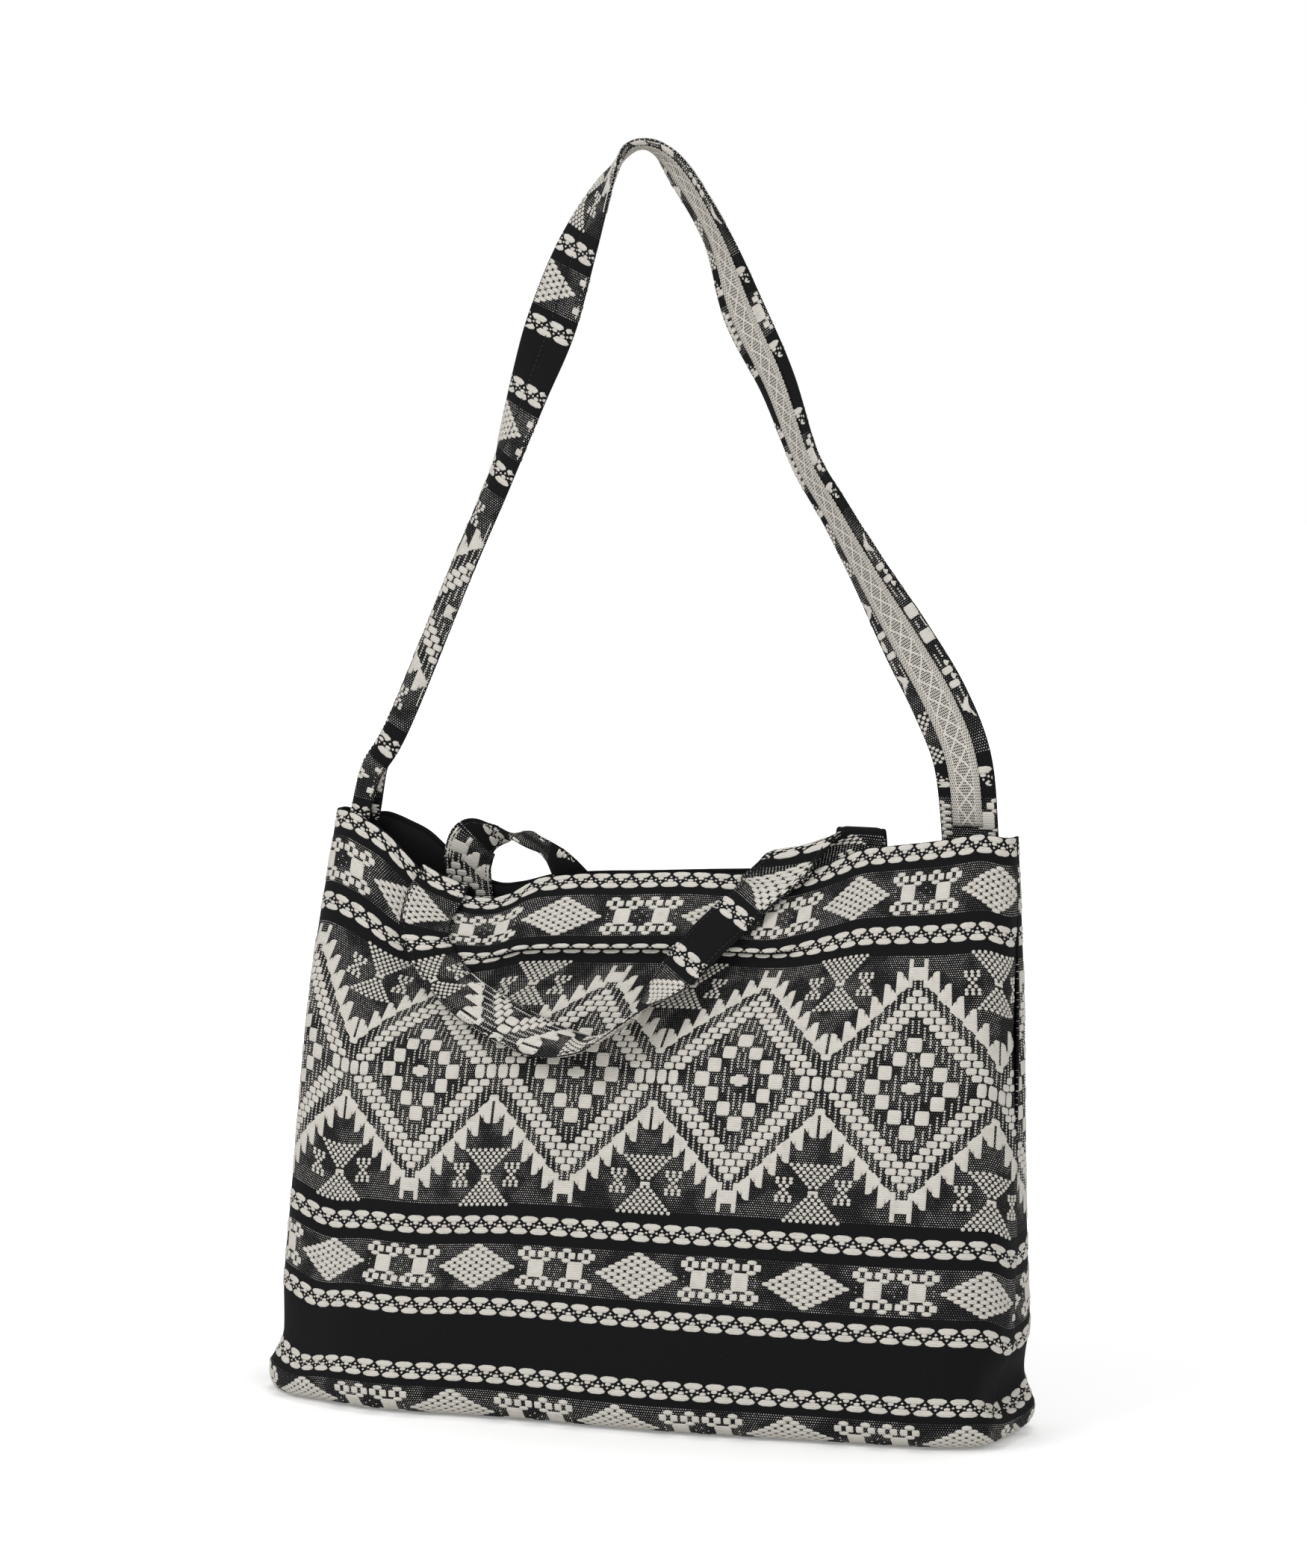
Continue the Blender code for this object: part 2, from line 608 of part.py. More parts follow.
def make_lining():
    """The black lining: one open-topped pocket of plain cloth that hangs inside the panels."""
    outer_depth = PANEL_THICKNESS + CLOTH_GAP
    mesh = bmesh.new()
    rims = []
    for depth, turned in ((outer_depth, False), (outer_depth + LINING_THICKNESS, True)):
        layer = []
        for half in lining_layer(depth):
            corners = [[mesh.verts.new(place) for place in row] for row in half]
            layer += corners[-1][:-1]
            for low, high in zip(corners, corners[1:]):
                for a, b, c, d in zip(low, low[1:], high[1:], high):
                    for face in ((a, b, c), (a, c, d)):
                        mesh.faces.new(face[::-1] if turned else face)
        rims.append(layer)
    outer, inner = rims
    for k in range(len(outer)):
        following = (k + 1) % len(outer)
        mesh.faces.new((outer[k], outer[following], inner[following]))
        mesh.faces.new((outer[k], inner[following], inner[k]))
    bmesh.ops.remove_doubles(mesh, verts=mesh.verts[:], dist=1e-6)
    return make_object("lining", mesh, LINING_COLOUR, CLOTH_ROUGHNESS)


def smooth_route(points, stations):
    """Points and other values spaced evenly along a Catmull-Rom curve through the route's own points."""
    rows = np.array(points, float)
    rows = np.concatenate([[2 * rows[0] - rows[1]], rows, [2 * rows[-1] - rows[-2]]])
    fine = []
    for before, start, end, after in zip(rows, rows[1:], rows[2:], rows[3:]):
        for share in np.linspace(0.0, 1.0, 12, endpoint=False):
            fine.append(0.5 * (2 * start + (end - before) * share
                               + (2 * before - 5 * start + 4 * end - after) * share ** 2
                               + (3 * start - before - 3 * end + after) * share ** 3))
    fine.append(rows[-2])
    fine = np.array(fine)
    length = np.concatenate([[0.0], np.cumsum(np.linalg.norm(np.diff(fine[:, :3], axis=0), axis=1))])
    even = np.linspace(0.0, length[-1], stations)
    return np.stack([np.interp(even, length, column) for column in fine.T], axis=1)


def skin_ribbon(name, upper, lower, colour):
    """A closed flat band from its upper and lower faces, given as grids of points: stations by section.

    Both faces are split along the same diagonals, so a band on another keeps its gap where they twist.
    """
    stations, width = upper.shape[:2]
    mesh = bmesh.new()
    ring = np.concatenate([upper, lower[:, ::-1]], axis=1)
    rows = [[mesh.verts.new(place) for place in section] for section in ring]
    count = 2 * width
    for near, far in zip(rows, rows[1:]):
        for k in range(count):
            following = (k + 1) % count
            if k < width:
                mesh.faces.new((near[k], near[following], far[following]))
                mesh.faces.new((near[k], far[following], far[k]))
            else:
                mesh.faces.new((near[k], near[following], far[k]))
                mesh.faces.new((near[following], far[following], far[k]))
    for row, turned in ((rows[0], True), (rows[-1], False)):
        for k in range(width - 1):
            quad = (row[k], row[k + 1], row[count - 2 - k], row[count - 1 - k])
            mesh.faces.new(quad[::-1] if turned else quad)
    bmesh.ops.recalc_face_normals(mesh, faces=mesh.faces[:])
    return make_object(name, mesh, colour, CLOTH_ROUGHNESS)


def band_frames(centres, across):
    """Unit directions of a band at each station: along it, across it and out of its upper face."""
    along = unit(np.gradient(centres, axis=0))
    across = unit(across - (across * along).sum(-1, keepdims=True) * along)
    return along, across, np.cross(along, across)


def folded_section(width, points, fold, lift):
    """Section of a band folded along its middle, at a lift off its middle face: places across and out.

    The middle bends round an arc whose length is STRAP_FOLD_RUN to each side, and the rest is straight.
    """
    run = np.linspace(-width / 2, width / 2, 48 * (points - 1) + 1)
    turn = fold * np.clip(run / STRAP_FOLD_RUN, -1.0, 1.0)
    step = run[1] - run[0]
    middle = len(run) // 2
    place_across = np.concatenate([[0.0], np.cumsum((np.cos(turn[1:]) + np.cos(turn[:-1])) / 2 * step)])
    place_out = np.concatenate([[0.0], np.cumsum((np.sin(turn[1:]) + np.sin(turn[:-1])) / 2 * -step)])
    place_across -= place_across[middle]
    place_out -= place_out[middle]
    picked = np.linspace(0, len(run) - 1, points).round().astype(int)
    return ((place_across + lift * np.sin(turn))[picked], (place_out + lift * np.cos(turn))[picked])


def folded_band(centres, across, out, folds, width, points, lift):
    """One face of a folded band: a grid of points, stations by section."""
    face = []
    for middle, aside, outward, fold in zip(centres, across, out, folds):
        to_side, to_out = folded_section(width, points, fold, lift)
        face.append(middle + to_side[:, None] * aside + to_out[:, None] * outward)
    return np.array(face)


def share_at(side, x, height):
    """The share of a panel's half width at which it passes over x."""
    shares = np.linspace(-1.0, 1.0, TABLE_COLUMNS)
    row = on_cloth(side, shares, height, 0.0)[:, 0]
    return np.interp(-side * x, -side * row, shares)


def rim_end_height():
    """How high the ends of the rim stand, at the side seams."""
    return TABLES[FRONT]["points"][-1, 0, 2]


def strap_frames():
    """The strap's middle face: centres, directions and fold of each station."""
    seat = STRAP_SEAT_GAP + STRAP_THICKNESS / 2
    drops = (SEWN_LENGTH, SEWN_LENGTH / 2, 0.0)
    rows = []
    for drop in drops:
        x, _, z = on_lining(FRONT, -1.0, CLOTH_HEIGHT - drop, seat + STRAP_ROOT_INSET)
        rows.append((x, STRAP_Y, z, math.radians(90), math.radians(STRAP_ROOT_FOLD)))
    for x, rise, twist, fold in STRAP_ROUTE:
        rows.append((x, STRAP_Y, rim_end_height() + rise, math.radians(twist), math.radians(fold)))
    end_x = on_lining(BACK, -1.0, CLOTH_HEIGHT, seat)[0] - STRAP_END_INSET - STRAP_WIDTH / 2
    for drop in reversed(drops):
        share = share_at(BACK, end_x, CLOTH_HEIGHT - drop)
        x, y, z = on_lining(BACK, share, CLOTH_HEIGHT - drop, seat)
        rows.append((x, y, z, math.radians(180), 0.0))
    route = smooth_route(rows, STRAP_STATIONS)
    centres = route[:, :3]
    along = unit(np.gradient(centres, axis=0))
    level = np.stack([-along[:, 2], np.zeros(len(along)), along[:, 0]], axis=-1)
    across = np.cos(route[:, 3:4]) * level + np.sin(route[:, 3:4]) * np.array([0.0, 1.0, 0.0])
    _, across, out = band_frames(centres, across)
    return centres, across, out, route[:, 4]


def make_strap():
    """The long shoulder strap: a flat tube of jacquard, folded along its middle near its left root."""
    centres, across, out, folds = strap_frames()
    upper, lower = (folded_band(centres, across, out, folds, STRAP_WIDTH, STRAP_POINTS, lift)
                    for lift in (STRAP_THICKNESS / 2, -STRAP_THICKNESS / 2))
    return skin_ribbon("shoulder_strap", upper, lower, STRAP_COLOUR)


def make_tape():
    """The fine patterned tape sewn to the underside of the strap, over its open seam."""
    centres, across, out, folds = strap_frames()
    near = -STRAP_THICKNESS / 2 - TAPE_GAP
    centres, across, out, folds = (values[TAPE_FROM_STATION:-TAPE_FROM_STATION]
                                   for values in (centres, across, out, folds))
    upper, lower = (folded_band(centres, across, out, folds, TAPE_WIDTH, TAPE_POINTS, lift)
                    for lift in (near, near - TAPE_THICKNESS))
    return skin_ribbon("strap_tape", upper, lower, TAPE_COLOUR)


def wrap_over_rim(side, x, distance, lift):
    """A point on the band's own face as it wraps over a rim: down inside, round the rim, down outside.

    The loop is a half circle about the edge of the cloth, and distance is 0 at its top.
    """
    inner = PANEL_THICKNESS + CLOTH_GAP + LINING_THICKNESS + SEAT_GAP + HANDLE_THICKNESS / 2
    outer = FIGURE_HEIGHT + CLOTH_GAP + HANDLE_THICKNESS / 2
    radius = (inner + outer) / 2
    middle = (outer - inner) / 2
    half_arc = radius * math.pi / 2
    angle = np.clip(distance / radius, -math.pi / 2, math.pi / 2)
    below = np.maximum(np.abs(distance) - half_arc, 0.0)
    height = CLOTH_HEIGHT - np.maximum(below - RIM_CLEARANCE, 0.0)
    above = np.maximum(RIM_CLEARANCE - below, 0.0) + (radius + lift) * np.cos(angle)
    share = share_on_grid(side, x, height)
    off = middle + (radius + lift) * np.sin(angle)
    place = on_cloth(side, share, height, off)
    place[..., 2] += above
    return place


def share_on_grid(side, x, height):
    """share_at for whole grids of places."""
    flat = [share_at(side, a, b) for a, b in zip(np.ravel(x), np.ravel(height))]
    return np.reshape(flat, np.shape(x))


def with_rim_loops(fine):
    """Stations of the front handle: close together where it bends over the rim, and even elsewhere."""
    distance = fine[:, 1]
    index = np.arange(len(fine))
    low = int(np.argmax(distance))
    up = np.interp(np.linspace(-RIM_LOOP_RUN, RIM_LOOP_RUN, RIM_LOOP_STATIONS), distance[:low], index[:low])
    down = np.interp(np.linspace(RIM_LOOP_RUN, -RIM_LOOP_RUN, RIM_LOOP_STATIONS),
                     distance[:low:-1], index[:low:-1])
    between = np.linspace(up[-1], down[0], HANDLE_STATIONS)[1:-1]
    before = np.linspace(0, up[0], SEWN_STATIONS)[:-1]
    after = np.linspace(down[-1], index[-1], SEWN_STATIONS)[1:]
    stations = np.concatenate([before, up, between, down, after])
    return np.stack([np.interp(stations, index, column) for column in fine.T], axis=1)


def make_front_handle():
    """The front handle: sewn inside the front rim, folded over it, and hanging in a loop on the panel."""
    rows = [(x, distance, 0.0, math.radians(swing)) for x, distance, swing in FRONT_HANDLE_ROUTE]
    route = with_rim_loops(smooth_route(rows, FINE_STATIONS))
    along = unit(np.gradient(route[:, :2], axis=0))
    square = np.stack([-along[:, 1], along[:, 0]], axis=-1)
    level = np.stack([-1 / along[:, 1], np.zeros(len(route))], axis=-1)
    near_rim = smooth_step(2 - 2 * np.abs(route[:, 1:2]) / SHEAR_RUN)
    aside = np.where(near_rim > 0, blend(square, level, near_rim), square)
    swing = route[:, 3:4]
    offset = np.linspace(-HANDLE_WIDTH / 2, HANDLE_WIDTH / 2, HANDLE_POINTS)[None, :]
    faces = []
    for lift in (HANDLE_THICKNESS / 2, -HANDLE_THICKNESS / 2):
        in_plane = offset * np.cos(swing) - lift * np.sin(swing)
        x = route[:, :1] + in_plane * aside[:, :1]
        distance = route[:, 1:2] + in_plane * aside[:, 1:]
        raised = HANDLE_WIDTH / 2 * np.sin(swing) + offset * np.sin(swing) + lift * np.cos(swing)
        faces.append(wrap_over_rim(FRONT, x, distance, raised))
    return skin_ribbon("front_handle", faces[0], faces[1], STRAP_COLOUR)


def make_back_handle():
    """The back handle: sewn inside the back rim, standing up in an arch and falling into the bag."""
    rows = []
    seat = PANEL_THICKNESS + CLOTH_GAP + LINING_THICKNESS + SEAT_GAP + HANDLE_THICKNESS / 2
    for x, stand_off, rise, across in BACK_HANDLE_ROUTE:
        z = rim_end_height() + rise
        shares = share_at(BACK, x, CLOTH_HEIGHT)
        heights = np.linspace(BASE_FOLD_RADIUS, CLOTH_HEIGHT, 80)
        wall = on_cloth(BACK, shares, heights, 0.0)
        y = np.interp(z, wall[:, 2], wall[:, 1])
        rows.append((x, y - seat - stand_off, z, *across))
    route = smooth_route(rows, HANDLE_STATIONS)
    _, across, out = band_frames(route[:, :3], route[:, 3:])
    level = np.zeros(len(route))
    upper, lower = (folded_band(route[:, :3], across, out, level, HANDLE_WIDTH, BACK_HANDLE_POINTS, lift)
                    for lift in (HANDLE_THICKNESS / 2, -HANDLE_THICKNESS / 2))
    return skin_ribbon("back_handle", upper, lower, STRAP_COLOUR)


def build():
    """Make the whole bag."""
    clear_scene()
    collection = bpy.data.collections.new(COLLECTION_NAME)
    bpy.context.scene.collection.children.link(collection)
    make_panel("front_panel", FRONT)
    make_panel("back_panel", BACK)
    make_lining()
    make_strap()
    make_tape()
    make_front_handle()
    make_back_handle()


build()
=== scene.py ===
"""A jacquard shopper bag on a pale floor: every woven float is a small domed mesh on a black ground cloth."""
import functools
import math

import bmesh
import bpy
import numpy as np
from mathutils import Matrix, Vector


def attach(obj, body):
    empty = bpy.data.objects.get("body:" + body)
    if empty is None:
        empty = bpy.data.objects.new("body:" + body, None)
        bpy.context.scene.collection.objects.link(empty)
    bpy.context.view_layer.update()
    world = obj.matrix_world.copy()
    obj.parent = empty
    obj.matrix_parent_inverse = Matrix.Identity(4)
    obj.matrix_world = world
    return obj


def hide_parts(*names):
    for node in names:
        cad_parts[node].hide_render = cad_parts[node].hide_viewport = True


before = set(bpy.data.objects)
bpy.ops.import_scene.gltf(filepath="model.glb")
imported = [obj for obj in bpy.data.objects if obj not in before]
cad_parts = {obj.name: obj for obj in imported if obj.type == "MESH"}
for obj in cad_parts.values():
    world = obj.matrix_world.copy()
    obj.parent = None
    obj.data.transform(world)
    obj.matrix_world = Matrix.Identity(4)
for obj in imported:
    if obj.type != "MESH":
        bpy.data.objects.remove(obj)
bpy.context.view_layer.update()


# The two jacquard panels. Each is one piece of heavy cotton cloth: half of the base, the base fold and one
# wall, sewn to the other panel at the sides. The cloth hangs from a stiff seam at each side and its rim sags.

FRONT = -1
BACK = 1
PANEL_THICKNESS = 0.0015
SEAM_GAP = 0.0003
BASE_WIDTH = 0.4424
BASE_DEPTH = 0.1424
BASE_BULGE = {FRONT: 0.0163, BACK: 0.0}
BASE_ROUNDNESS = {FRONT: 2.9, BACK: 4.0}
BASE_FOLD_RADIUS = 0.016
BASE_SEAM_Y = 0.006
BASE_SEAM_INSET = 0.040
RIM_WIDTH = 0.4232
RIM_SHIFT_X = 0.0045
RIM_SIDE_Y = 0.0329
RIM_ROUNDNESS = 3.6
RIM_DEPTH = {FRONT: 0.020, BACK: 0.016}
RIM_BULGE = {FRONT: -0.0144, BACK: 0.007}
MIDDLE_Y = 0.015
SIDE_SWELL = 0.0045
CORNER_PUSH = {
    FRONT: ((0.021, -0.140, 0.062, 0.32), (0.016, -0.202, 0.032, 0.11), (-0.008, 0.130, 0.080, 0.32)),
    BACK: ((0.012, 0.180, 0.050, 0.32),),
}
BASE_FLARE = 0.011
BASE_FLARE_LEVEL = 0.11
RIGHT_SWELL = 0.0058
RIGHT_SWELL_LEVEL = 0.70
SEAM_TUCK = 0.010
SEAM_TUCK_LEVEL = 0.10
SEAM_TUCK_RUN = 0.10
CLOTH_HEIGHT = 0.3393
TAPER_POWER = 1.533
ROUNDNESS_POWER = 1.11
SAG_FROM_LEVEL = 0.62
SAG_POWER = 1.1
RIM_LINE = {
    FRONT: ((-0.206, -0.004), (-0.183, 0.003), (-0.16, 0.0085), (-0.148, 0.017), (-0.137, 0.0272),
            (-0.12, 0.035), (-0.105, 0.0374), (-0.09, 0.037), (-0.079, 0.0335), (-0.068, 0.0284),
            (-0.05, 0.0264), (-0.01, 0.025), (0.03, 0.0232), (0.06, 0.024), (0.085, 0.0245),
            (0.098, 0.0225), (0.11, 0.0189), (0.123, 0.0134), (0.135, 0.0085), (0.15, 0.0063),
            (0.18, 0.0025), (0.216, -0.0042)),
    BACK: ((-0.207, -0.004), (-0.19, 0.001), (-0.179, 0.0045), (-0.165, 0.0094), (-0.151, 0.0155),
           (-0.139, 0.025), (-0.127, 0.035), (-0.116, 0.041), (-0.104, 0.0445), (-0.092, 0.0435),
           (-0.07, 0.0385), (-0.046, 0.0365), (-0.013, 0.035), (0.03, 0.0322), (0.06, 0.03),
           (0.1, 0.025), (0.13, 0.0185), (0.155, 0.0115), (0.172, 0.0082), (0.19, 0.003),
           (0.216, -0.0042)),
}
LONG_WAVE = 0.0011
SHORT_WAVE = 0.0006
CREASE_HEIGHT = 25.5
CREASE_SPAN = (37.0, 25.0)
CREASE_ENDS = (8.0, 10.0)
CREASE_EDGE = 1.2
CREASE_LEAN = 0.0058
CREASE_TUCK = 0.0020
CREASE_DROP = 0.0048
RIM_STEP = 40.5
LEFT_FOLD_FROM = 0.6
LEFT_FOLD_RUN = 0.3
FOLD_POWER = 0.90
LEFT_FOLD_POWER = 0.50
LEFT_FOLD_DEPTH = 0.5
LEAST_RISE = 0.3
TABLE_ROWS = 241
TABLE_COLUMNS = 321
BASE_ROWS = 9
FOLD_ROWS = 9

# The woven repeat: 28 steps across the cloth make 100 mm, and 97.4 steps go up the wall
ACROSS_STEP = 0.100 / 28
UP_STEP = CLOTH_HEIGHT / 97.4
PATTERN_MIDDLE_X = 0.0259
PATTERN_MIDDLE_HEIGHT = 57.2
ROW_REPEAT = 88.5
COLUMN_STEP = 14.0
HOURGLASS_ROW = 17.2
DIAMOND_ROW = 31.9
CHAIN_ROWS = (-38.7, -25.0, 25.0, 38.7)


def smooth_step(value):
    """0 below 0, 1 above 1 and the S curve 3t^2 - 2t^3 between."""
    held = np.clip(value, 0.0, 1.0)
    return held * held * (3.0 - 2.0 * held)


def hump(value):
    """A bell: 1 at 0, falling to 0 at -1 and 1."""
    return smooth_step(1.0 - np.abs(value))


def unit(vectors):
    """The same vectors at length 1."""
    return vectors / np.maximum(np.linalg.norm(vectors, axis=-1, keepdims=True), 1e-12)


def rim_sag(x, side):
    """How far the rim hangs below level at x: a cubic through the rim line's points with middle slopes."""
    at, sag = np.array(RIM_LINE[side]).T
    slope = np.gradient(sag, at)
    low = np.clip(np.searchsorted(at, x) - 1, 0, len(at) - 2)
    run = at[low + 1] - at[low]
    t = np.clip((x - at[low]) / run, 0.0, 1.0)
    return (sag[low] * (1 + 2 * t) * (1 - t) ** 2 + slope[low] * run * t * (1 - t) ** 2
            + sag[low + 1] * t ** 2 * (3 - 2 * t) - slope[low + 1] * run * t ** 2 * (1 - t))


def plan_curve(level, side):
    """Half of a rounded rectangle, |x/a|^e + |y/b|^e = 1, whose size and e go from the base to the rim.

    A bulge is added in the middle and the ends move back. Near the base the corners are pushed out, the base
    flares and the side seams are drawn in. A change that belongs to the sides grows with a power of the share
    of the half width. The points are spaced evenly along the curve.
    """
    half_width = (BASE_WIDTH + (RIM_WIDTH - BASE_WIDTH) * level) / 2 + SIDE_SWELL * 4 * level * (1 - level)
    depth = BASE_DEPTH / 2 + (RIM_DEPTH[side] - BASE_DEPTH / 2) * level ** TAPER_POWER
    bulge = BASE_BULGE[side] + (RIM_BULGE[side] - BASE_BULGE[side]) * level
    roundness = BASE_ROUNDNESS[side] + (RIM_ROUNDNESS - BASE_ROUNDNESS[side]) * level ** ROUNDNESS_POWER
    turn = np.linspace(math.pi, 0.0, 4 * TABLE_COLUMNS)
    share = np.sign(np.cos(turn)) * np.abs(np.cos(turn)) ** (2 / roundness)
    out = depth * np.abs(np.sin(turn)) ** (2 / roundness) + bulge * (1 - share ** 2)
    set_back = MIDDLE_Y if side == FRONT else MIDDLE_Y * level
    x = -side * half_width * share + RIM_SHIFT_X * level ** 2
    x += side * SEAM_TUCK * np.sign(share) * share ** 40 * hump((level - SEAM_TUCK_LEVEL) / SEAM_TUCK_RUN)
    x -= side * BASE_FLARE * share ** 5 * smooth_step(1 - level / BASE_FLARE_LEVEL)
    x += RIGHT_SWELL * (x > 0) * share ** 6 * smooth_step(1 - level / RIGHT_SWELL_LEVEL)
    y = side * (out + SEAM_GAP / 2) + RIM_SIDE_Y * level * share ** 4 + set_back * (1 - share ** 4)
    for push, middle, run, top in CORNER_PUSH[side]:
        bell = np.exp(-((x - middle) / run) ** 2) * (1 - share ** 24)
        y += side * push * bell * smooth_step(1 - level / top)
    length = np.concatenate([[0.0], np.cumsum(np.hypot(np.diff(x), np.diff(y)))])
    even = np.linspace(0.0, length[-1], TABLE_COLUMNS)
    return np.interp(even, length, x), np.interp(even, length, y), length[-1] / 2


def slack(side, across, height, soft=False):
    """How far slack cloth leans out of its smooth form and how far it hangs down, in metres.

    On the front the band above the second chain leans out and hangs over a crease, and both walls have
    shallow waves. The soft form has no sharp crease: it is for a band that lies over it.
    """
    u = (across - PATTERN_MIDDLE_X) / ACROSS_STEP
    v = height / UP_STEP - PATTERN_MIDDLE_HEIGHT
    level = np.clip(height / CLOTH_HEIGHT, 0.0, 1.0)
    waves = (LONG_WAVE * np.sin(u * 0.16 + 1.3) * np.sin(v * 0.075 + 0.6)
             + SHORT_WAVE * np.sin(u * 0.31 - v * 0.11))
    lean = waves * np.sin(math.pi * level) ** 0.5
    if side == BACK:
        return lean, np.zeros_like(lean)
    window = (smooth_step((u + CREASE_SPAN[0]) / CREASE_ENDS[0])
              * smooth_step((CREASE_SPAN[1] - u) / CREASE_ENDS[1]))
    fade = smooth_step((RIM_STEP - v) / 13.0)
    if soft:
        return lean + window * CREASE_LEAN * fade * smooth_step((v - 12.0) / 12.0), np.zeros_like(lean)
    above = smooth_step((v - CREASE_HEIGHT + 0.9) / CREASE_EDGE)
    below = smooth_step((CREASE_HEIGHT - v) / CREASE_EDGE) * smooth_step((v - 6.0) / 16.0)
    lean = lean + window * (CREASE_LEAN * above * fade - CREASE_TUCK * below)
    return lean, window * CREASE_DROP * above * fade


def cloth_table(side, soft=False):
    """One panel's outer face as a table of points, from the base seam up to the rim.

    Rows are at known heights along the cloth: each row of the wall lies one step of cloth above the last,
    and its rise is what is left of that step after its move in plan. Below are a quarter round, (1 - cos^e,
    1 - sin^e) with a smaller e at the left, where the fold is sharper, and the flat base.
    """
    levels = np.linspace(0.0, 1.0, TABLE_ROWS)
    rows = [plan_curve(level, side) for level in levels]
    x, y = (np.array([row[axis] for row in rows]) for axis in (0, 1))
    girths = np.array([row[2] for row in rows])
    step = CLOTH_HEIGHT / (TABLE_ROWS - 1)
    moved = np.hypot(np.diff(x, axis=0), np.diff(y, axis=0))
    rise = np.sqrt(np.maximum(step ** 2 - moved ** 2, (LEAST_RISE * step) ** 2))
    z = np.concatenate([np.zeros((1, TABLE_COLUMNS)), np.cumsum(rise, axis=0)])
    reach = np.clip((levels[:, None] - SAG_FROM_LEVEL) / (1 - SAG_FROM_LEVEL), 0.0, 1.0)
    wall = np.stack([x, y, z - rim_sag(x[-1][None, :], side) * reach ** SAG_POWER], axis=-1)
    heights = levels * CLOTH_HEIGHT
    start = int(np.searchsorted(heights, BASE_FOLD_RADIUS))
    keep = np.arange(TABLE_ROWS) > start
    foot = wall[start]
    along = unit(np.gradient(foot, axis=0))
    inward = np.stack([-along[:, 1], along[:, 0], np.zeros(TABLE_COLUMNS)], axis=-1)
    turn = np.linspace(math.pi / 2, 0.0, FOLD_ROWS)[:, None, None]
    share = np.linspace(-1.0, 1.0, TABLE_COLUMNS)
    left = smooth_step((side * share - LEFT_FOLD_FROM) / LEFT_FOLD_RUN)
    power = FOLD_POWER + (LEFT_FOLD_POWER - FOLD_POWER) * left
    depth = BASE_FOLD_RADIUS * (1 - (1 - LEFT_FOLD_DEPTH) * left[:, None])
    fold = foot + inward * depth * (1 - np.cos(turn) ** power[:, None])
    fold[..., 2] = foot[:, 2] * (1 - np.sin(turn[..., 0]) ** power)
    fold_heights = BASE_FOLD_RADIUS * (1 - turn[:, 0, 0])
    seam = np.stack([-side * share * (BASE_WIDTH / 2 - BASE_SEAM_INSET),
                     BASE_SEAM_Y * (1 - share ** 2) + side * SEAM_GAP / 2, np.zeros(TABLE_COLUMNS)], axis=-1)
    back = np.linspace(1.0, 0.0, BASE_ROWS)[:-1, None, None]
    base = fold[0] + (seam - fold[0]) * back
    base_heights = fold_heights[0] - back[:, 0, 0] * (BASE_DEPTH / 2 - BASE_FOLD_RADIUS / 2)
    points = np.concatenate([base, fold, wall[keep]])
    heights = np.concatenate([base_heights, fold_heights, heights[keep]])
    half = np.concatenate([np.full(len(base) + len(fold), girths[start]), girths[keep]])
    flat = len(base) + 1

    def outward(points):
        """Normals off the face: the cross of its two directions, and straight down on the base."""
        normals = unit(np.cross(np.gradient(points, axis=1), np.gradient(points, heights, axis=0)))
        normals[:flat] = (0.0, 0.0, -1.0)
        return normals

    lean, drop = slack(side, share * half[:, None], heights[:, None], soft)
    points = points + outward(points) * lean[..., None]
    points[..., 2] -= drop
    return {"points": points, "normals": outward(points), "along": heights, "half": half}


def half_at(table, along):
    """Half of a cloth's width at a distance along it."""
    return np.interp(along, table["along"], table["half"])


def place(table, across, along, lift):
    """World points of a cloth: read between the four nearest points of its table, then moved off its face.

    across and along are metres of cloth from its middle line and its first row, lift is metres off it.
    """
    across, along, lift = np.broadcast_arrays(np.asarray(across, float), along, lift)
    rows, columns = table["points"].shape[:2]
    row = np.interp(along, table["along"], np.arange(rows))
    low = np.minimum(row.astype(int), rows - 2)
    up = (row - low)[..., None]
    share = across / half_at(table, along)
    column = (np.clip(share, -1.0, 1.0) + 1) / 2 * (columns - 1)
    left = np.minimum(column.astype(int), columns - 2)
    right = (column - left)[..., None]

    def read(values):
        """The value between four points: a blend across, then a blend up."""
        lower = values[low, left] * (1 - right) + values[low, left + 1] * right
        upper = values[low + 1, left] * (1 - right) + values[low + 1, left + 1] * right
        return lower * (1 - up) + upper * up

    return read(table["points"]) + unit(read(table["normals"])) * lift[..., None]


def add_object(name, data):
    """An object in the scene for a mesh, a lamp or a camera."""
    made = bpy.data.objects.new(name, data)
    bpy.context.scene.collection.objects.link(made)
    return made


def new_piece(name, vertices, faces, pattern, materials, face_materials=None):
    """A mesh object at the origin from arrays. pattern is each vertex's place in the weave, for its UVs."""
    data = bpy.data.meshes.new(name)
    data.from_pydata(vertices.reshape(-1, 3).tolist(), [], faces)
    corner = np.empty(len(data.loops), np.int32)
    data.loops.foreach_get("vertex_index", corner)
    data.uv_layers.new(name="weave").data.foreach_set("uv", pattern.reshape(-1, 2)[corner].ravel())
    for material in materials:
        data.materials.append(material)
    if face_materials is not None:
        data.polygons.foreach_set("material_index", np.asarray(face_materials, np.int32))
    data.polygons.foreach_set("use_smooth", np.ones(len(data.polygons), bool))
    return add_object(name, data)


